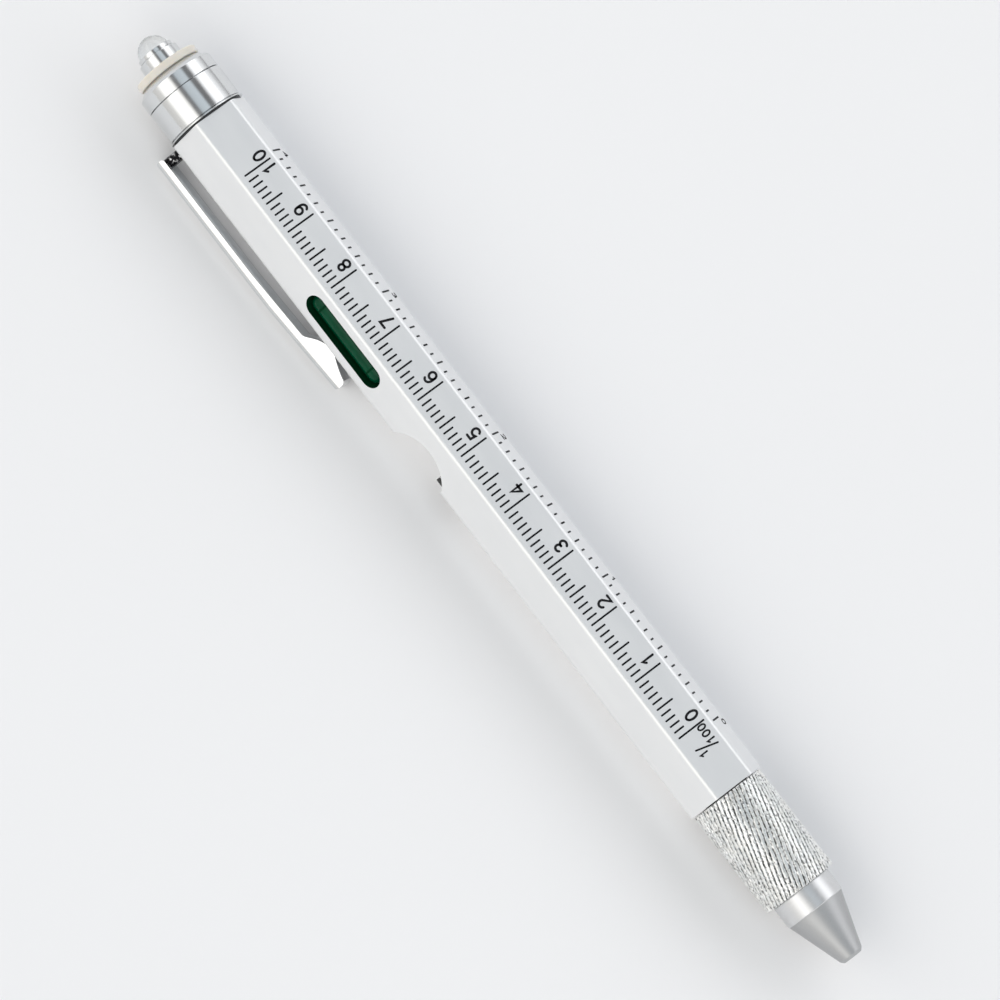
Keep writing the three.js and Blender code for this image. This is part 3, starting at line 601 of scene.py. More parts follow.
def make_barrel():
    body = prism("barrel_body", hexagon(), HEAD, NOSE, across, SATIN)
    bores = (
        (HEAD - OVERRUN, HEAD + COLLAR_BORE_DEPTH, COLLAR_BORE),
        (HEAD - OVERRUN, ends("battery_holder")[1] + 3 * SEAT, HOLDER_BORE),
        (ends("guide_sleeve")[0] - OVERRUN, NOSE + OVERRUN, MECHANISM_BORE),
    )
    for start, end, radius in bores:
        cut(body, drill(start, end, radius))
    above = APOTHEM + OVERRUN
    lip_pocket = block(TOOTH_WALL - OVERRUN, LIP_POCKET_END, LIP_WIDTH + 2 * SEAT, LIP_FOOT - SEAT, above)
    root_slot = block(ROOT_START - ROOT_SLACK, ROOT_END + ROOT_SLACK, ROOT_WIDTH + 2 * ROOT_SLACK,
                      COLLAR_BORE - OVERRUN, above)
    for cutter, angle in (
        (vial_cutter(), LEVEL_TURN),
        (notch_cutter(), CLIP_TURN),
        (lip_pocket, CLIP_TURN),
        (root_slot, CLIP_TURN),
    ):
        turn(cutter, angle)
        cut(body, cutter)
    soften(body, EDGE, material=0)
    dress(body, "barrel", "satin_silver", "barrel")


make_barrel()


# Printed rulers

STROKE = 0.355
INK_DEPTH = 0.02
CAP_STEPS = 6
DIGIT_HEIGHT = 2.18
DIGIT_SPACING = 0.78
TICK_WIDTH = 0.27
TICK_FOOT = -2.24
LONG_TOP = 2.44
HALF_TOP = 0.70
SHORT_TOP = -0.46
NUMBER_TOP = 2.44
NUMBER_GAP = 0.79


# Centrelines of the numerals, as shares of their height: x to the right, y up.
DIGITS = {
    "0": [arc(0.31, 0.5, 0.29, 0.5, 90, 450, 32)],
    "1": [[(0.12, 0.78), (0.34, 1.0), (0.34, 0.0)]],
    "2": [arc(0.31, 0.70, 0.28, 0.30, 160, -35) + [(0.02, 0.0), (0.60, 0.0)]],
    "3": [arc(0.28, 0.74, 0.26, 0.26, 150, -90), arc(0.28, 0.25, 0.30, 0.25, 90, -150)],
    "4": [[(0.46, 0.0), (0.46, 1.0), (0.0, 0.30), (0.62, 0.30)]],
    "5": [[(0.55, 1.0), (0.12, 1.0), (0.06, 0.55)] + arc(0.29, 0.32, 0.29, 0.32, 130, -150)],
    "6": [arc(0.34, 0.60, 0.31, 0.40, 42, 180, 14) + arc(0.31, 0.30, 0.28, 0.30, 180, 540, 30)],
    "7": [[(0.02, 1.0), (0.60, 1.0), (0.20, 0.0)]],
    "8": [arc(0.30, 0.76, 0.24, 0.24, -90, 270, 26), arc(0.30, 0.26, 0.29, 0.26, 90, 450, 28)],
    "9": [arc(0.28, 0.40, 0.31, 0.40, 222, 360, 14) + arc(0.31, 0.70, 0.28, 0.30, 0, 360, 30)],
}


def ribbon(points, width):
    """The outline of a flat stroke with round ends: its left side, front, right side and rear."""
    half = width / 2
    line = [Vector(point) for point in points]
    left, right = [], []
    for index, here in enumerate(line):
        back = (here - line[index - 1]).normalized() if index else None
        ahead = (line[index + 1] - here).normalized() if index + 1 < len(line) else None
        direction = ((back or ahead) + (ahead or back)).normalized()
        normal = Vector((-direction.y, direction.x))
        stretch = min(1 / max(normal.dot(Vector((-(back or ahead).y, (back or ahead).x))), 0.5), 2)
        left.append(here + normal * half * stretch)
        right.append(here - normal * half * stretch)

    def cap(centre, direction):
        base = atan2(direction.y, direction.x)
        angles = [base + pi * (0.5 - step / CAP_STEPS) for step in range(1, CAP_STEPS)]
        return [centre + half * Vector((cos(angle), sin(angle))) for angle in angles]

    front = cap(line[-1], (line[-1] - line[-2]).normalized())
    rear = cap(line[0], (line[0] - line[1]).normalized())
    return left, front, right, rear


class Print:
    """Collects the strokes of one printed face, drawn in (u, v), as thin closed slabs."""

    def __init__(self, place_point):
        self.place_point = place_point
        self.points = []
        self.faces = []

    def slab(self, tops):
        """A closed slab under the given faces, which share their common corners."""
        def key(point):
            return round(point[0], 5), round(point[1], 5)

        base = len(self.points)
        index = {}
        for top in tops:
            for point in top:
                index.setdefault(key(point), len(index))
        count = len(index)
        for height in (SKIN + INK_DEPTH, 0.0):
            self.points += [self.place_point(u, v, height) for u, v in index]
        rim = {}
        for top in tops:
            loop = [index[key(point)] for point in top]
            loop = [value for i, value in enumerate(loop) if value != loop[i - 1]]
            if len(set(loop)) < 3:
                continue
            self.faces.append(tuple(base + value for value in loop))
            self.faces.append(tuple(base + count + value for value in reversed(loop)))
            for i, value in enumerate(loop):
                after = loop[(i + 1) % len(loop)]
                if (after, value) in rim:
                    del rim[(after, value)]
                else:
                    rim[(value, after)] = True
        for first, second in rim:
            self.faces.append((base + first, base + count + first, base + count + second, base + second))

    def stroke(self, points, width=STROKE):
        left, front, right, rear = ribbon(points, width)
        self.slab([(left[i], left[i + 1], right[i + 1], right[i]) for i in range(len(left) - 1)])
        self.slab([[left[-1]] + front + [right[-1]]])
        self.slab([[right[0]] + rear + [left[0]]])

    def tick(self, u, foot, top):
        self.stroke([(u, foot + TICK_WIDTH / 2), (u, top - TICK_WIDTH / 2)], TICK_WIDTH)

    def number(self, text, u, v, height, direction=-1, spacing=DIGIT_SPACING, width=STROKE):
        """Digits from a lower left corner; direction is +1 to read towards +u, or -1 for upside down."""
        size = direction * height
        for position, letter in enumerate(text):
            shift = position * spacing
            for line in DIGITS[letter]:
                self.stroke([(u + size * (x + shift), v + size * y) for x, y in line], width)

    def finish(self, name):
        dress(add_mesh(name, self.points, self.faces, INK), "barrel", "ink")


def on_face(angle):
    """Places (u, v) on the flat turned by angle from the upper one: u along the pen, v across it."""
    def place_point(u, v, height):
        out = APOTHEM + height
        return (u, v * cos(angle) - out * sin(angle),
                v * sin(angle) + out * cos(angle))
    return place_point


def tenths(face, unit, count):
    """Ticks at each tenth of a unit, numbered by the unit and read with the point to the left."""
    for tick in range(10 * count + 1):
        top = LONG_TOP if tick % 10 == 0 else HALF_TOP if tick % 5 == 0 else SHORT_TOP
        face.tick(-tick * unit / 10, TICK_FOOT, top)
    for number in range(min(count + 1, 10)):
        scale_number(face, number, -number * unit)


def scale_number(face, number, mark):
    face.number(str(number), mark - NUMBER_GAP - STROKE / 2, NUMBER_TOP - STROKE / 2,
                DIGIT_HEIGHT - STROKE)


def metric_ruler(name, angle):
    """The 1:100 ruler: ten units of ten millimetres, with its ratio beyond the zero."""
    face = Print(on_face(angle))
    tenths(face, 10.0, 10)
    # The last number straddles its mark: the 1 before it and a little off the row, the 0 close behind
    last_mark = -100
    one_before, one_off, zero_closer = 1.6208, 0.1, 0.36
    face.number("1", last_mark + one_before, NUMBER_TOP - STROKE / 2 + one_off, DIGIT_HEIGHT - STROKE)
    scale_number(face, 0, last_mark + zero_closer)
    stroke, spacing = 0.26, 0.9
    face.number("100", 3.15, 2.03, 1.18, spacing=spacing, width=stroke)
    face.stroke([(3.7, 2.0), (2.78, -1.3)], stroke)
    face.number("1", 4.15, -0.05, 1.16, spacing=spacing, width=stroke)
    face.finish(name)


def inch_ruler(name, angle):
    """Sixteenths of an inch from the shared edge with the upper flat, numbered by the inch."""
    face = Print(on_face(angle))
    inch, zero, edge = 25.4, 0.9, -2.75
    lengths = {16: 3.7, 8: 3.1, 4: 2.7, 2: 2.2, 1: 1.7}
    for tick in range(65):
        length = next(length for step, length in lengths.items() if tick % step == 0)
        face.tick(zero - tick * inch / 16, edge, edge + length)
    gap, foot, height, stroke = 0.4, 1.1, 1.3, 0.22
    for number in range(5):
        x = zero - number * inch + gap + STROKE / 2
        face.number(str(number), x, foot, height, direction=1, width=stroke)
    face.finish(name)


def plain_ruler(name, angle, unit, count):
    """A ruler on one of the flats that face away."""
    face = Print(on_face(angle))
    tenths(face, unit, count)
    face.finish(name)


metric_ruler("ruler_metres", 0.0)
inch_ruler("ruler_inches", radians(-60))
plain_ruler("ruler_half_scale", radians(180), 20.0, 5)
plain_ruler("ruler_centimetres", radians(-120), 10.0, 10)


# Level

CHAMBER_LENGTH = 11.0
CHAMBER_RADIUS = 1.2
FLUID_GAP = 0.02
BUBBLE_LENGTH = 9.5
BUBBLE_RADIUS = 0.6
BUBBLE_DROP = 0.66  # from the chamber's wall to the bubble's middle
MARK_HALF = 0.16
MARK_DEPTH = 0.06


def make_level():
    def rod(name, length, radius, material, y=0.0, z=0.0):
        return capsule(name, VIAL_CENTRE, length, radius, y, VIAL_HEIGHT + z, material)

    vial = rod("level_capsule", VIAL_LENGTH - 2 * SEAT, VIAL_RADIUS - SEAT, VIAL)
    cut(vial, rod("bore", CHAMBER_LENGTH, CHAMBER_RADIUS, VIAL))
    fluid = rod("level_liquid", CHAMBER_LENGTH - 2 * SEAT, CHAMBER_RADIUS - FLUID_GAP, GREEN)
    offset = CHAMBER_RADIUS - BUBBLE_DROP
    cut(fluid, rod("bubble", BUBBLE_LENGTH, BUBBLE_RADIUS, GREEN,
                   offset * sin(LEVEL_TURN), offset * cos(LEVEL_TURN)))
    for made in (vial, fluid):
        sharpen(made)
        turn(made, LEVEL_TURN)
    dress(vial, "barrel", "clear_plastic", "level_vial", "level_plug")
    dress(fluid, "barrel", "green_fluid", "level_fluid")
    for name, side in (("level_mark_head", -1), ("level_mark_nose", 1)):
        mark = level_mark(name, VIAL_CENTRE + side * CHAMBER_LENGTH / 2)
        turn(mark, LEVEL_TURN)
        dress(mark, "barrel", "black_plastic")


def level_mark(name, x, sides=48):
    """The dark line round the capsule at one end of the bubble's reach."""
    outer = VIAL_RADIUS - SEAT + SKIN / 2
    inner = outer - MARK_DEPTH
    points = []
    for dx, radius in ((-MARK_HALF, outer), (MARK_HALF, outer), (MARK_HALF, inner), (-MARK_HALF, inner)):
        points += ring(x + dx, radius, sides, z=VIAL_HEIGHT)
    return add_mesh(name, points, skin(4, sides, closed=True), LEVEL_BED)


make_level()


# Opener


def make_lip():
    start, end = ends("opener_lip")
    bevel = 0.35
    outline = [(start, LIP_FOOT + bevel), (start + bevel, LIP_FOOT), (end, LIP_FOOT), (end, LIP_TOP),
               (start + bevel / 2, LIP_TOP), (start, LIP_TOP - bevel / 2)]
    lip = prism("opener_tongue", outline, -LIP_WIDTH / 2, LIP_WIDTH / 2, sideways, LIP_PAINTED_SHADE)
    # Painted shade and highlight: the tongue's faces are near-black, and its rounded edges are bright chrome
    turn(lip, CLIP_TURN)
    lip.data.materials.append(CHROME)
    soften(lip, EDGE, material=1)
    dress(lip, "barrel", "steel", "opener_lip")


make_lip()


# Clip

CLIP_START = 0.1  # from the barrel's end
CLIP_LENGTH = 41.2
CLIP_WIDTH = 4.0
CLIP_SHEET = 0.45
CLIP_BEND = 0.9
CLIP_RISE = 4.0
CLIP_STRAIGHT = 26.0
CLIP_LEAN = 0.7 / (CLIP_LENGTH - CLIP_STRAIGHT)
FLANGE_EVEN = 21.0
FLANGE_DEPTH = 1.45
FLANGE_FOOT = 1.85
FLANGE_TIP = 2.63
LOBE_RISE = 4.7
LOBE_FALL = 3.9
LOBE_DEPTH = CLIP_RISE - 0.01
LOBE_ROLL = 0.34
TIP_RADIUS = 0.7
TIP_START = CLIP_LENGTH - TIP_RADIUS
CLIP_EDGE = 0.07
HEAD_ROUND = 0.5
ROOT_PLAY = 0.2
ROOT_SINK = 0.42
ROOT_GAP = 0.02
ROOT_ROLL = 0.9


def channel(half, top, radius, depth, steps=10):
    x, y = half - radius, top - radius
    return ([(-half, -depth), (half, -depth)] + bend(x, y, radius, 0, 90, steps)
            + bend(-x, y, radius, 90, 180, steps))


def bezier(start, first, second, end, steps=20):
    points = []
    for step in range(1, steps + 1):
        t = step / steps
        shares = ((1 - t) ** 3, 3 * (1 - t) ** 2 * t, 3 * (1 - t) * t ** 2, t ** 3)
        pulls = list(zip(shares, (start, first, second, end)))
        points.append(tuple(sum(share * corner[axis] for share, corner in pulls) for axis in (0, 1)))
    return points


def lobe_curve():
    """The flange's lower edge from the lobe's foot over its peak to the tip."""
    peak = TIP_START - LOBE_FALL
    foot = peak - LOBE_RISE
    drop = LOBE_DEPTH - FLANGE_TIP
    rise = bezier((foot, -FLANGE_FOOT), (foot + 0.2 * LOBE_RISE, -FLANGE_FOOT),
                  (foot + 0.4 * LOBE_RISE, -LOBE_DEPTH), (peak, -LOBE_DEPTH))
    fall = bezier((peak, -LOBE_DEPTH), (peak + 0.15 * LOBE_FALL, -LOBE_DEPTH),
                  (peak + 0.3 * LOBE_FALL, 0.45 * drop - LOBE_DEPTH), (TIP_START, -FLANGE_TIP))
    return [(foot, -FLANGE_FOOT)] + rise + fall


def clip_side():
    """The clip seen from its side, with its level back at height 0."""
    tip_back = CLIP_LEAN * (TIP_START - CLIP_STRAIGHT)
    outline = [(0.0, OVERRUN)] + bend(HEAD_ROUND, -HEAD_ROUND, HEAD_ROUND, 90, 180)
    outline += bend(HEAD_ROUND, HEAD_ROUND - FLANGE_DEPTH, HEAD_ROUND, 180, 270)
    outline += [(FLANGE_EVEN, -FLANGE_DEPTH)] + lobe_curve()
    outline += bend(TIP_START, TIP_RADIUS - FLANGE_TIP, TIP_RADIUS, -90, 0)[1:]
    outline += bend(TIP_START, -TIP_RADIUS - tip_back, TIP_RADIUS, 0, 90)
    return outline + [(TIP_START, OVERRUN)]


def channel_run(section, start, end, material=CHROME):
    """A level run of channel, and the rest of it leaning towards the barrel, joined."""
    level = prism("level_run", section, start, CLIP_STRAIGHT, across, material)
    rest = prism("rest", section, CLIP_STRAIGHT, end, across, material)
    for vertex in rest.data.vertices:
        vertex.co.z -= CLIP_LEAN * (vertex.co.x - CLIP_STRAIGHT * MM)
    cut(level, rest, "UNION")
    return level


def weigh_edges(made, chosen, light):
    """Bevel weights: 1 where chosen says so, light on every other sharp edge."""
    work = bmesh.new()
    work.from_mesh(made.data)
    weights = work.edges.layers.float.new("bevel_weight_edge")
    for edge in work.edges:
        if len(edge.link_faces) != 2 or edge.calc_face_angle() < FLAT_ANGLE:
            continue
        edge[weights] = 1.0 if chosen(edge) else light
    work.to_mesh(made.data)
    work.free()


def on_lobe(edge):
    """The outer lower edges of both flanges, from just before the lobe's foot to the tip."""
    foot = (TIP_START - LOBE_FALL - LOBE_RISE - 1.0) * MM
    side = (CLIP_WIDTH / 2 - 0.02) * MM
    low = (-FLANGE_FOOT + 0.1) * MM + AXIS * MM
    return all(abs(v.co.y) > side and v.co.x > foot and v.co.z < low for v in edge.verts)


def make_clip():
    half = CLIP_WIDTH / 2
    depth = CLIP_RISE + OVERRUN
    clip = channel_run(channel(half, 0, CLIP_BEND, depth), 0, CLIP_LENGTH)
    cut(clip, prism("side", clip_side(), -CLIP_WIDTH, CLIP_WIDTH, sideways, CHROME), "INTERSECT")
    inside = channel(half - CLIP_SHEET, -CLIP_SHEET, CLIP_BEND - CLIP_SHEET, depth + OVERRUN)
    # The inner faces take the lighter copy: painted light
    cut(clip, channel_run(inside, -OVERRUN, CLIP_LENGTH - CLIP_SHEET, CLIP_INSIDE_LIGHTENED))
    weigh_edges(clip, on_lobe, CLIP_EDGE / LOBE_ROLL)
    bevel = clip.modifiers.new("edges", "BEVEL")
    bevel.width = LOBE_ROLL * MM
    bevel.segments = 5
    bevel.limit_method = "WEIGHT"
    apply_modifiers(clip)
    clip.data.transform(Matrix.Translation(((HEAD + CLIP_START) * MM, 0, (APOTHEM + CLIP_RISE) * MM)))
    turn(clip, CLIP_TURN)
    sharpen(clip, SHARP_ANGLE)
    level_normals(clip)
    dress(clip, "clip", "chrome", "pocket_clip")
    root = block(ROOT_START, ROOT_END, ROOT_WIDTH - ROOT_PLAY,
                 APOTHEM - ROOT_SINK, APOTHEM + CLIP_RISE - CLIP_SHEET - ROOT_GAP)
    # The root block is near-black: painted shade
    root.data.materials[0] = ROOT_PAINTED_SHADE
    turn(root, CLIP_TURN)
    soften(root, ROOT_ROLL, 8)
    dress(root, "clip", "steel")


make_clip()


# Collar, cap, ring and lamp

THREAD_PITCH = 0.75
THREAD_DEPTH = 0.17
THREAD_ROWS = 12  # rows of points in a pitch


def thread(start, end):
    """A screw thread between two places, cut into the neck that carries it."""
    def ripple(x, angle):
        if not start < x < end:
            return 0.0
        phase = (x / THREAD_PITCH + angle / (2 * pi)) % 1
        return -THREAD_DEPTH * min(1, max(0, 1.6 * abs(2 * phase - 1) - 0.2))
    return ripple


def make_collar():
    start, end = ends("head_collar")
    rim = reach("head_collar")
    neck, spigot = 5.2, 4.95
    undercut, recess = neck - 0.12, rim - 0.95
    flange, groove = HEAD - 0.6, HEAD - 0.3
    thread_end = flange - 0.35
    rows = int((flange - start) / THREAD_PITCH * THREAD_ROWS)
    corners = [(start, HOLDER_BORE, 0.05), (start, neck - 0.1, 0.05)]
    corners += [(start + (thread_end - start) * row / rows, neck, 0) for row in range(1, rows)]
    corners += [
        (flange - 0.3, undercut, 0), (flange, undercut, 0.03), (flange, rim - 0.3, 0.06),
        (flange + 0.2, rim, 0.08), (groove, rim, 0.05), (groove, recess, 0.03),
        (HEAD - SEAT, recess, 0.02), (HEAD - SEAT, spigot, 0.02), (end, spigot, 0.05),
        (end, HOLDER_BORE, 0.02),
    ]
    collar = lathe("collar", corners, CHROME, ripple=thread(start + 0.4, flange - 0.4))
    dress(collar, "barrel", "chrome", "head_collar")
    # A black ring at the bottom of the groove between collar and barrel: painted shade, so the groove reads
    # as a dark line
    low, high = HEAD - 0.29, HEAD - 0.03
    inner, outer = rim - 0.94, rim - 0.45
    corners = [(low, inner, 0.01), (low, outer, 0.04), (high, outer, 0.04), (high, inner, 0.01)]
    groove_shade_ring = lathe("collar_groove_shade", corners, BLACK)
    dress(groove_shade_ring, "barrel", "black_plastic")


def make_cap():
    start, end = ends("cap_sleeve")
    radius = reach("cap_sleeve")
    bore, mouth = 5.32, 4.1
    sleeve = lathe("cap_lower", [
        (start, bore, 0.03), (start, radius, 0.05), (end - 0.12, radius, 0.06),
        (end, radius - 0.1, 0.05), (end, bore, 0.03),
    ], CHROME)
    dress(sleeve, "cap", "chrome", "cap_sleeve")
    top = ends("cap_crown")[0]
    foot = start - 0.14
    step = foot + 0.85
    floor = ends("battery_holder")[0] - 0.17
    crown = lathe("cap_upper", [
        (top, mouth, 0.04), (top, 4.7, 0.06), (top + 1.15, radius, 0.12), (foot, radius, 0.05),
        (foot, bore - SEAT, 0.02), (step, bore - SEAT, 0.05), (step, HOLDER_BORE, 0.03),
        (floor, HOLDER_BORE, 0.02), (floor, mouth, 0.03),
    ], CHROME)
    dress(crown, "cap", "chrome", "cap_crown")
    low, high = ends("insulating_ring")
    rim = reach("insulating_ring")
    face = top - SEAT
    bore, spigot = 3.57, 4.05
    cream = lathe("cream_ring", [
        (low, bore, 0.1), (low, rim - 0.12, 0.2), (low + 0.2, rim, 0.2), (face - 0.15, rim, 0.15),
        (face, rim - 0.15, 0.1), (face, spigot, 0.02), (high, spigot, 0.05), (high, bore, 0.02),
    ], CREAM)
    dress(cream, "cap", "cream_plastic", "insulating_ring")


def make_lamp():
    lip, back = ends("lamp_bezel")
    bore, rim, groove, neck, skirt, flange, seat = 2.5, 2.8, 2.62, 3.16, 3.45, 3.98, 2.95
    groove_low, groove_high, step, front = lip + 0.62, lip + 0.8, lip + 2.6, back - 0.8
    bezel = lathe("lamp_collar", [
        (lip, bore, 0.04), (lip, rim, 0.1), (groove_low, rim, 0.04), (groove_low, groove, 0.02),
        (groove_high, groove, 0.02), (groove_high, neck, 0.1), (step, neck, 0.03), (step, skirt, 0.03),
        (front, skirt, 0.02), (front, flange, 0.05), (back, flange, 0.05), (back, seat, 0.03),
        (front, seat, 0.02), (front, bore, 0.02),
    ], CHROME)
    dress(bezel, "lamp", "chrome", "lamp_bezel")
    tip, base = ends("lamp_lens")
    radius, foot, foot_radius = 2.45, base - 0.9, 2.9
    corners = [(x, r, 0) for x, r in bend(tip + radius, 0.0, radius, 180, 90, 20)[1:]]
    corners += [(foot, radius, 0.03), (foot, foot_radius, 0.05), (base, foot_radius, 0.05)]
    lens = solid_lathe("lamp_dome", corners, CLEAR, SMALL_SIDES)
    dress(lens, "lamp", "clear_plastic", "lamp_lens")
    # What the clear body is cast round: two posts, and the cup with its chip
    for name, centre, width, height in (("lamp_post_1", -0.6985, 0.9, 4.6),
                                        ("lamp_post_2", 0.6985, 0.55, 4.9)):
        start, end = base - 0.1, base - height
        outline = rounded([(start, -width / 2, 0), (start, width / 2, 0),
                           (end, width / 2, 0.1), (end, -width / 2, 0.1)])
        post = prism(name, [(a, b + centre) for a, b in outline], -0.2, 0.2, upright, STEEL)
        dress(post, "lamp", "steel")
    floor, cup_side = base - 4.6, -0.70
    cup = lathe("lamp_cup", [
        (floor - 0.75, 0.62, 0.03), (floor - 0.75, 0.72, 0.03), (floor, 0.42, 0.05),
        (floor, 0.05, 0), (floor - 0.15, 0.05, 0), (floor - 0.15, 0.3, 0.03),
    ], CHROME, 48)
    cup.data.transform(Matrix.Translation((0, cup_side * MM, 0)))
    dress(cup, "lamp", "chrome")
    chip = capsule("lamp_chip", floor - 0.3, 0.5, 0.24, cup_side, 0, PHOSPHOR, 6, 24)
    dress(chip, "lamp", "cream_plastic")


SPRING_WIRE = 0.26
SPRING_TURNS = 2


def make_press_spring():
    """The coil behind the lamp, which shortens as the lamp is pressed."""
    low, high = ends("button_spring")
    wire = SPRING_WIRE / 2
    radius = reach("button_spring") - wire
    rows, sides = 96, 12
    points = []
    for row in range(rows + 1):
        angle = 2 * pi * SPRING_TURNS * row / rows
        x = low + wire + (high - low - 2 * wire) * row / rows
        for side in range(sides):
            lean = 2 * pi * side / sides
            r = radius + wire * cos(lean)
            points.append((x + wire * sin(lean), r * sin(angle), r * cos(angle)))
    caps = [tuple(range(sides)), tuple(range(rows * sides, len(points)))]
    coil = add_mesh("press_spring", points, caps + skin(rows + 1, sides), STEEL)
    dress(coil, "cap", "steel", "button_spring")
    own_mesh(coil)


make_collar()
make_cap()
make_lamp()
make_press_spring()


# Grip and nose

RIBS = 52
RIB_DEPTH = 0.13
RIB_CROWN = 0.03
RIB_ANGLE = radians(18)
CROSS_RIBS = 30
CROSS_DEPTH = 0.09
CROSS_ANGLE = radians(52)
RIB_WANDER = 0.15
CROSS_WANDER = 0.3
GRIP_ROWS = 150
GRIP_COLUMNS = RIBS * 10
GRIP_CHAMFER = 0.12
GRIP_FORWARD = 0.12  # how far the grip runs on towards the barrel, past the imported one
# Slope of a groove's side, and how much its depth varies
GROOVE_FLAT = 1.35
GROOVE_SLOPE = 3.2
GROOVE_VARIES = 0.8
CROSS_SLOPE = 2.6
CROSS_SHARE = 0.2
# Fineness of the noise that bends the ribs, varies their depth and picks the crossings
WANDER_GRAIN = 0.9
DEPTH_GRAIN = 2.2
CROSS_GRAIN = 1.1
CROSS_PLACE = Vector((9, 9, 9))


def make_grip():
    """Knurl: fine ridges that lean round the grip, broken by a shallower family that leans back."""
    start, end = ends("grip_sleeve")
    start -= GRIP_FORWARD
    radius = reach("grip_sleeve")
    lean = tan(RIB_ANGLE) / radius
    cross_lean = tan(CROSS_ANGLE) / radius
    points, depths = [], []
    for row in range(GRIP_ROWS + 1):
        x = start + (end - start) * row / GRIP_ROWS
        chamfer = max(0.0, GRIP_CHAMFER - min(x - start, end - x))
        for column in range(GRIP_COLUMNS):
            angle = 2 * pi * column / GRIP_COLUMNS
            spot = Vector((0.5 * x, radius * sin(angle), radius * cos(angle)))
            wander = ripple_at(WANDER_GRAIN * spot)
            along = (RIBS * (angle + lean * (x - start)) / (2 * pi) + RIB_WANDER * wander) % 1
            over = (CROSS_RIBS * (angle - cross_lean * (x - start)) / (2 * pi)
                    + CROSS_WANDER * wander) % 1
            side_of_rib = 2 * min(along, 1 - along)
            fall = min(1.0, max(0.0, GROOVE_FLAT - GROOVE_SLOPE * side_of_rib))
            varied = 1 + GROOVE_VARIES * ripple_at(DEPTH_GRAIN * spot)
            groove = RIB_DEPTH * fall * fall * (3 - 2 * fall) * varied
            groove += RIB_CROWN * (1 - side_of_rib) ** 2
            mark = max(0.0, CROSS_SHARE + ripple_at(CROSS_GRAIN * spot + CROSS_PLACE))
            side_of_cross = 0.5 - abs(over - 0.5)
            groove = max(groove, CROSS_DEPTH * mark * (1 - min(1, CROSS_SLOPE * side_of_cross)))
            depths.append(min(1.0, groove / RIB_DEPTH))
            r = radius - max(groove, chamfer)
            points.append((x, r * sin(angle), r * cos(angle)))
    nose_bore, middle_bore, head_bore = 3.95, 1.415, 3.65
    nose_floor, head_floor = end - 7.12, start + 6.12
    bores = ((end, nose_bore), (nose_floor, nose_bore), (nose_floor, middle_bore),
             (head_floor, middle_bore), (head_floor, head_bore), (start, head_bore))
    for x, r in bores:
        points += ring(x, r, GRIP_COLUMNS)
    faces = skin(GRIP_ROWS + 1 + len(bores), GRIP_COLUMNS, closed=True)
    grip = add_mesh("grip_knurl", points, faces, KNURL)
    # Each point's groove depth is kept on the mesh, for the knurl's painted groove shade
    shade_depth = grip.data.attributes.new("groove", "FLOAT", "POINT")
    for index, depth in enumerate(depths):
        shade_depth.data[index].value = depth
    dress(grip, "grip", "bright_knurl", "grip_sleeve")


def make_cone():
    low, end = ends("nose_cone")
    start = ends("grip_sleeve")[1] + SEAT
    collar = reach("nose_cone")
    shoulder = start + 3.5
    spigot, bore, hole = 3.9, 3.0, 1.32
    cone = lathe("nose_tip", [
        (low, bore, 0.05), (low, spigot, 0.1), (start, spigot, 0.02), (start, collar - 0.1, 0.08),
        (start + 0.15, collar, 0.08), (shoulder - 0.12, collar, 0.1), (shoulder, collar - 0.15, 0.1),
        (end - 0.45, 1.9, 0.35), (end, 1.5, 0.15), (end, hole, 0.05), (shoulder, hole, 0.1),
        (shoulder - 1.68, bore, 0.1),
    ], CONE, steps=7)
    # The tip beyond the shoulder takes the darker metal: painted shade
    cone.data.materials.append(CONE_TIP_SHADED)
    for face in cone.data.polygons:
        if face.center.x > (shoulder - 0.02) * MM:
            face.material_index = 1
    dress(cone, "grip", "satin_silver", "nose_cone")


def make_point():
    start, end = ends("refill_tip")
    radius = 1.175
    neck = end - 0.35
    tip = solid_lathe("refill_point", [
        (start, radius, 0.05), (neck - 4.0, radius, 0.4), (neck - 0.5, 0.56, 0.2), (neck, 0.42, 0.05),
    ], BRASS, 48)
    dress(tip, "refill", "brass", "refill_tip")
    ball = capsule("refill_ball", neck, 0.7, 0.34, 0, 0, STEEL, 8, 32)
    dress(ball, "refill", "steel")


make_grip()
make_cone()
make_point()


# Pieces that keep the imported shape, with a finish of their own

KEPT = (
    (BLACK, ("battery_holder", "refill_carrier")),
    (STEEL, ("button_cell_1", "button_cell_2", "button_cell_3", "battery_spring", "lamp_lead_1",
             "lamp_lead_2", "carrier_pin")),
    # Painted shade: the tube and bush seen through the gap are near-black
    (GAP_SHADE_METAL, ("nose_bush", "twist_tube")),
    (BRASS, ("guide_sleeve", "refill_tube")),
)

for material, nodes in KEPT:
    for node in nodes:
        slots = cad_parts[node].data.materials
        slots.clear()
        slots.append(material)


# Floor, light and camera

WARM = (1.0, 0.985, 0.955)
COOL = (0.86, 0.94, 1.0)
PLAIN = (0.98, 0.985, 1.0)
ROOM_BRIGHTEST = 2.1
ROOM_ENDS = 0.95
ROOM_END_FROM_TO = (0.93, 0.99)
ROOM_BANDS = ((-90, 0.75, WARM), (-74, 0.85, WARM), (-62, 1.5, WARM), (-46, 2.0, WARM), (-31, 1.4, WARM),
              (-22, 0.25, PLAIN), (-16, 0.2, PLAIN), (-9, 0.75, COOL), (11, 0.85, COOL), (18, 0.2, PLAIN),
              (27, 0.2, PLAIN), (40, 1.5, PLAIN), (55, 2.0, PLAIN), (70, 1.1, PLAIN), (85, 0.7, PLAIN),
              (90, 0.2, PLAIN))


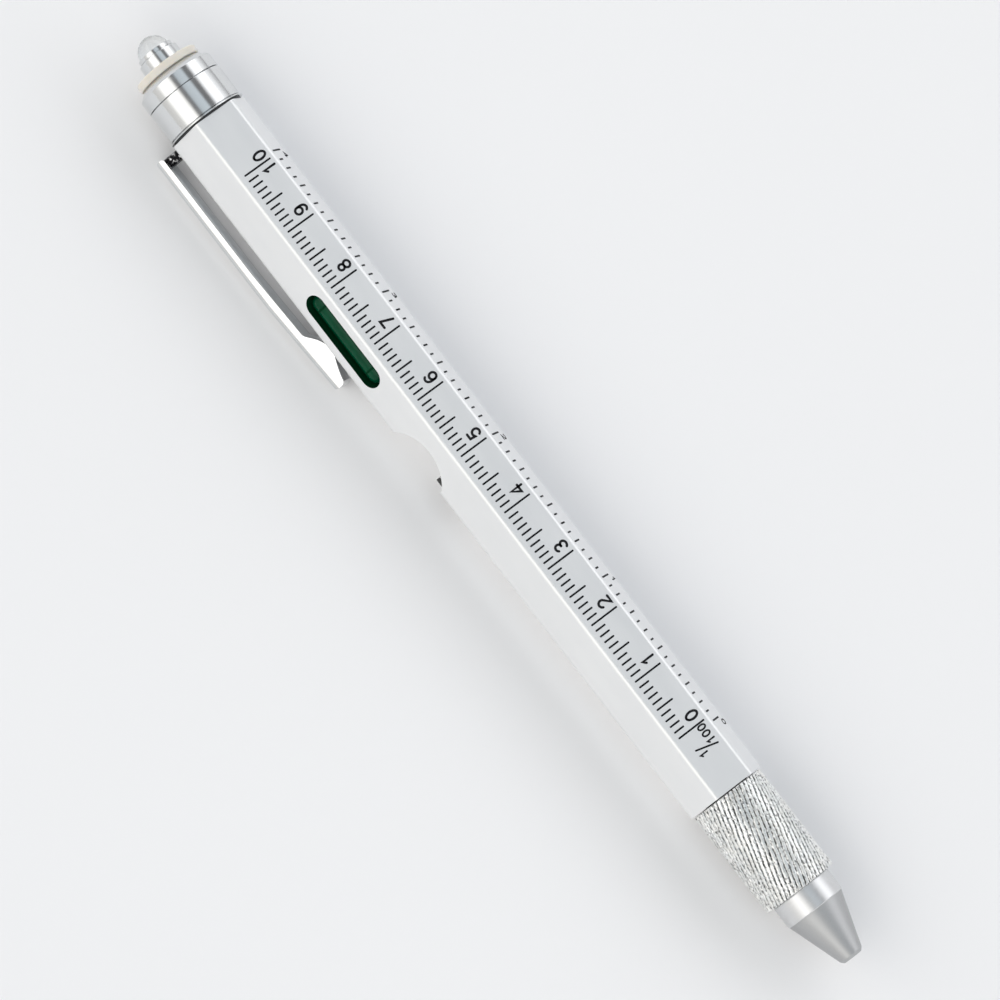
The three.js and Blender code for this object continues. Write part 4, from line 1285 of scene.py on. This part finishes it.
def make_floor():
    mesh = bpy.data.meshes.new("floor")
    side = 3.0
    level = cad_low.z
    corners = [(-side, -side, level), (side, -side, level), (side, side, level), (-side, side, level)]
    mesh.from_pydata(corners, [], [(0, 1, 2, 3)])
    mesh.materials.append(grained("floor", (0.88, 0.88, 0.89), 0.0, 0.8, (1.0, 2.0, 0.5, (0.01, 0.01, 0.01)),
                                  (0.87, 0.87, 0.88), (0.89, 0.89, 0.90)))
    made = put("floor", mesh)


def make_world():
    """The room round the pen: soft bands of light along it, by their bearing from overhead, towards +Y."""
    world = bpy.data.worlds.new("studio")
    world.use_nodes = True
    background = world.node_tree.nodes["Background"]
    background.inputs["Strength"].default_value = ROOM_BRIGHTEST
    parts = add_node(world, "ShaderNodeSeparateXYZ")
    link(add_node(world, "ShaderNodeTexCoord").outputs["Generated"], parts.inputs["Vector"])
    bearing = maths(world, "ARCTAN2", parts.outputs["Y"], parts.outputs["Z"])
    stops = [(degrees / 180 + 0.5, [strength / ROOM_BRIGHTEST * share for share in colour])
             for degrees, strength, colour in ROOM_BANDS]
    bands = ramp(world, span(world, bearing, 0, 1, -pi / 2, pi / 2), *stops,
                 interpolation="EASE")
    blend = add_node(world, "ShaderNodeMixRGB")
    blend.inputs["Color2"].default_value = [ROOM_ENDS / ROOM_BRIGHTEST] * 3 + [1]
    link(bands, blend.inputs["Color1"])
    to_end = span(world, maths(world, "ABSOLUTE", parts.outputs["X"]), 0, 1, *ROOM_END_FROM_TO)
    link(to_end, blend.inputs["Fac"])
    link(blend.outputs["Color"], background.inputs["Color"])
    bpy.context.scene.world = world


def make_camera():
    """The photograph's view: almost above the pen, tipped a little towards its level."""
    distance = 0.8
    tilt = radians(15.38)
    above = 3.3
    roll = radians(-0.095)
    along = (0.6123, 0.7906)  # the pen's direction in the picture, to the right and down
    focal = 204.0
    eye = Vector((above * MM, -distance * sin(tilt), distance * cos(tilt) + AXIS * MM))
    target = Vector((-42.15 * MM, -0.03 * MM, AXIS * MM))
    back = (eye - target).normalized()
    flat = (Vector((1, 0, 0)) - back * back.x).normalized()
    side = back.cross(flat)
    angle = atan2(-along[1], along[0]) + roll
    right = flat * cos(-angle) + side * sin(-angle)
    up = back.cross(right)
    data = bpy.data.cameras.new("camera")
    data.lens = focal
    data.sensor_width = 36
    data.clip_start = 0.01
    data.clip_end = 20
    made = put("camera", data)
    made.matrix_world = Matrix.Translation(eye) @ Matrix((right, up, back)).transposed().to_4x4()
    bpy.context.scene.camera = made


make_floor()
make_world()
make_camera()
bpy.context.scene.view_settings.view_transform = "Standard"
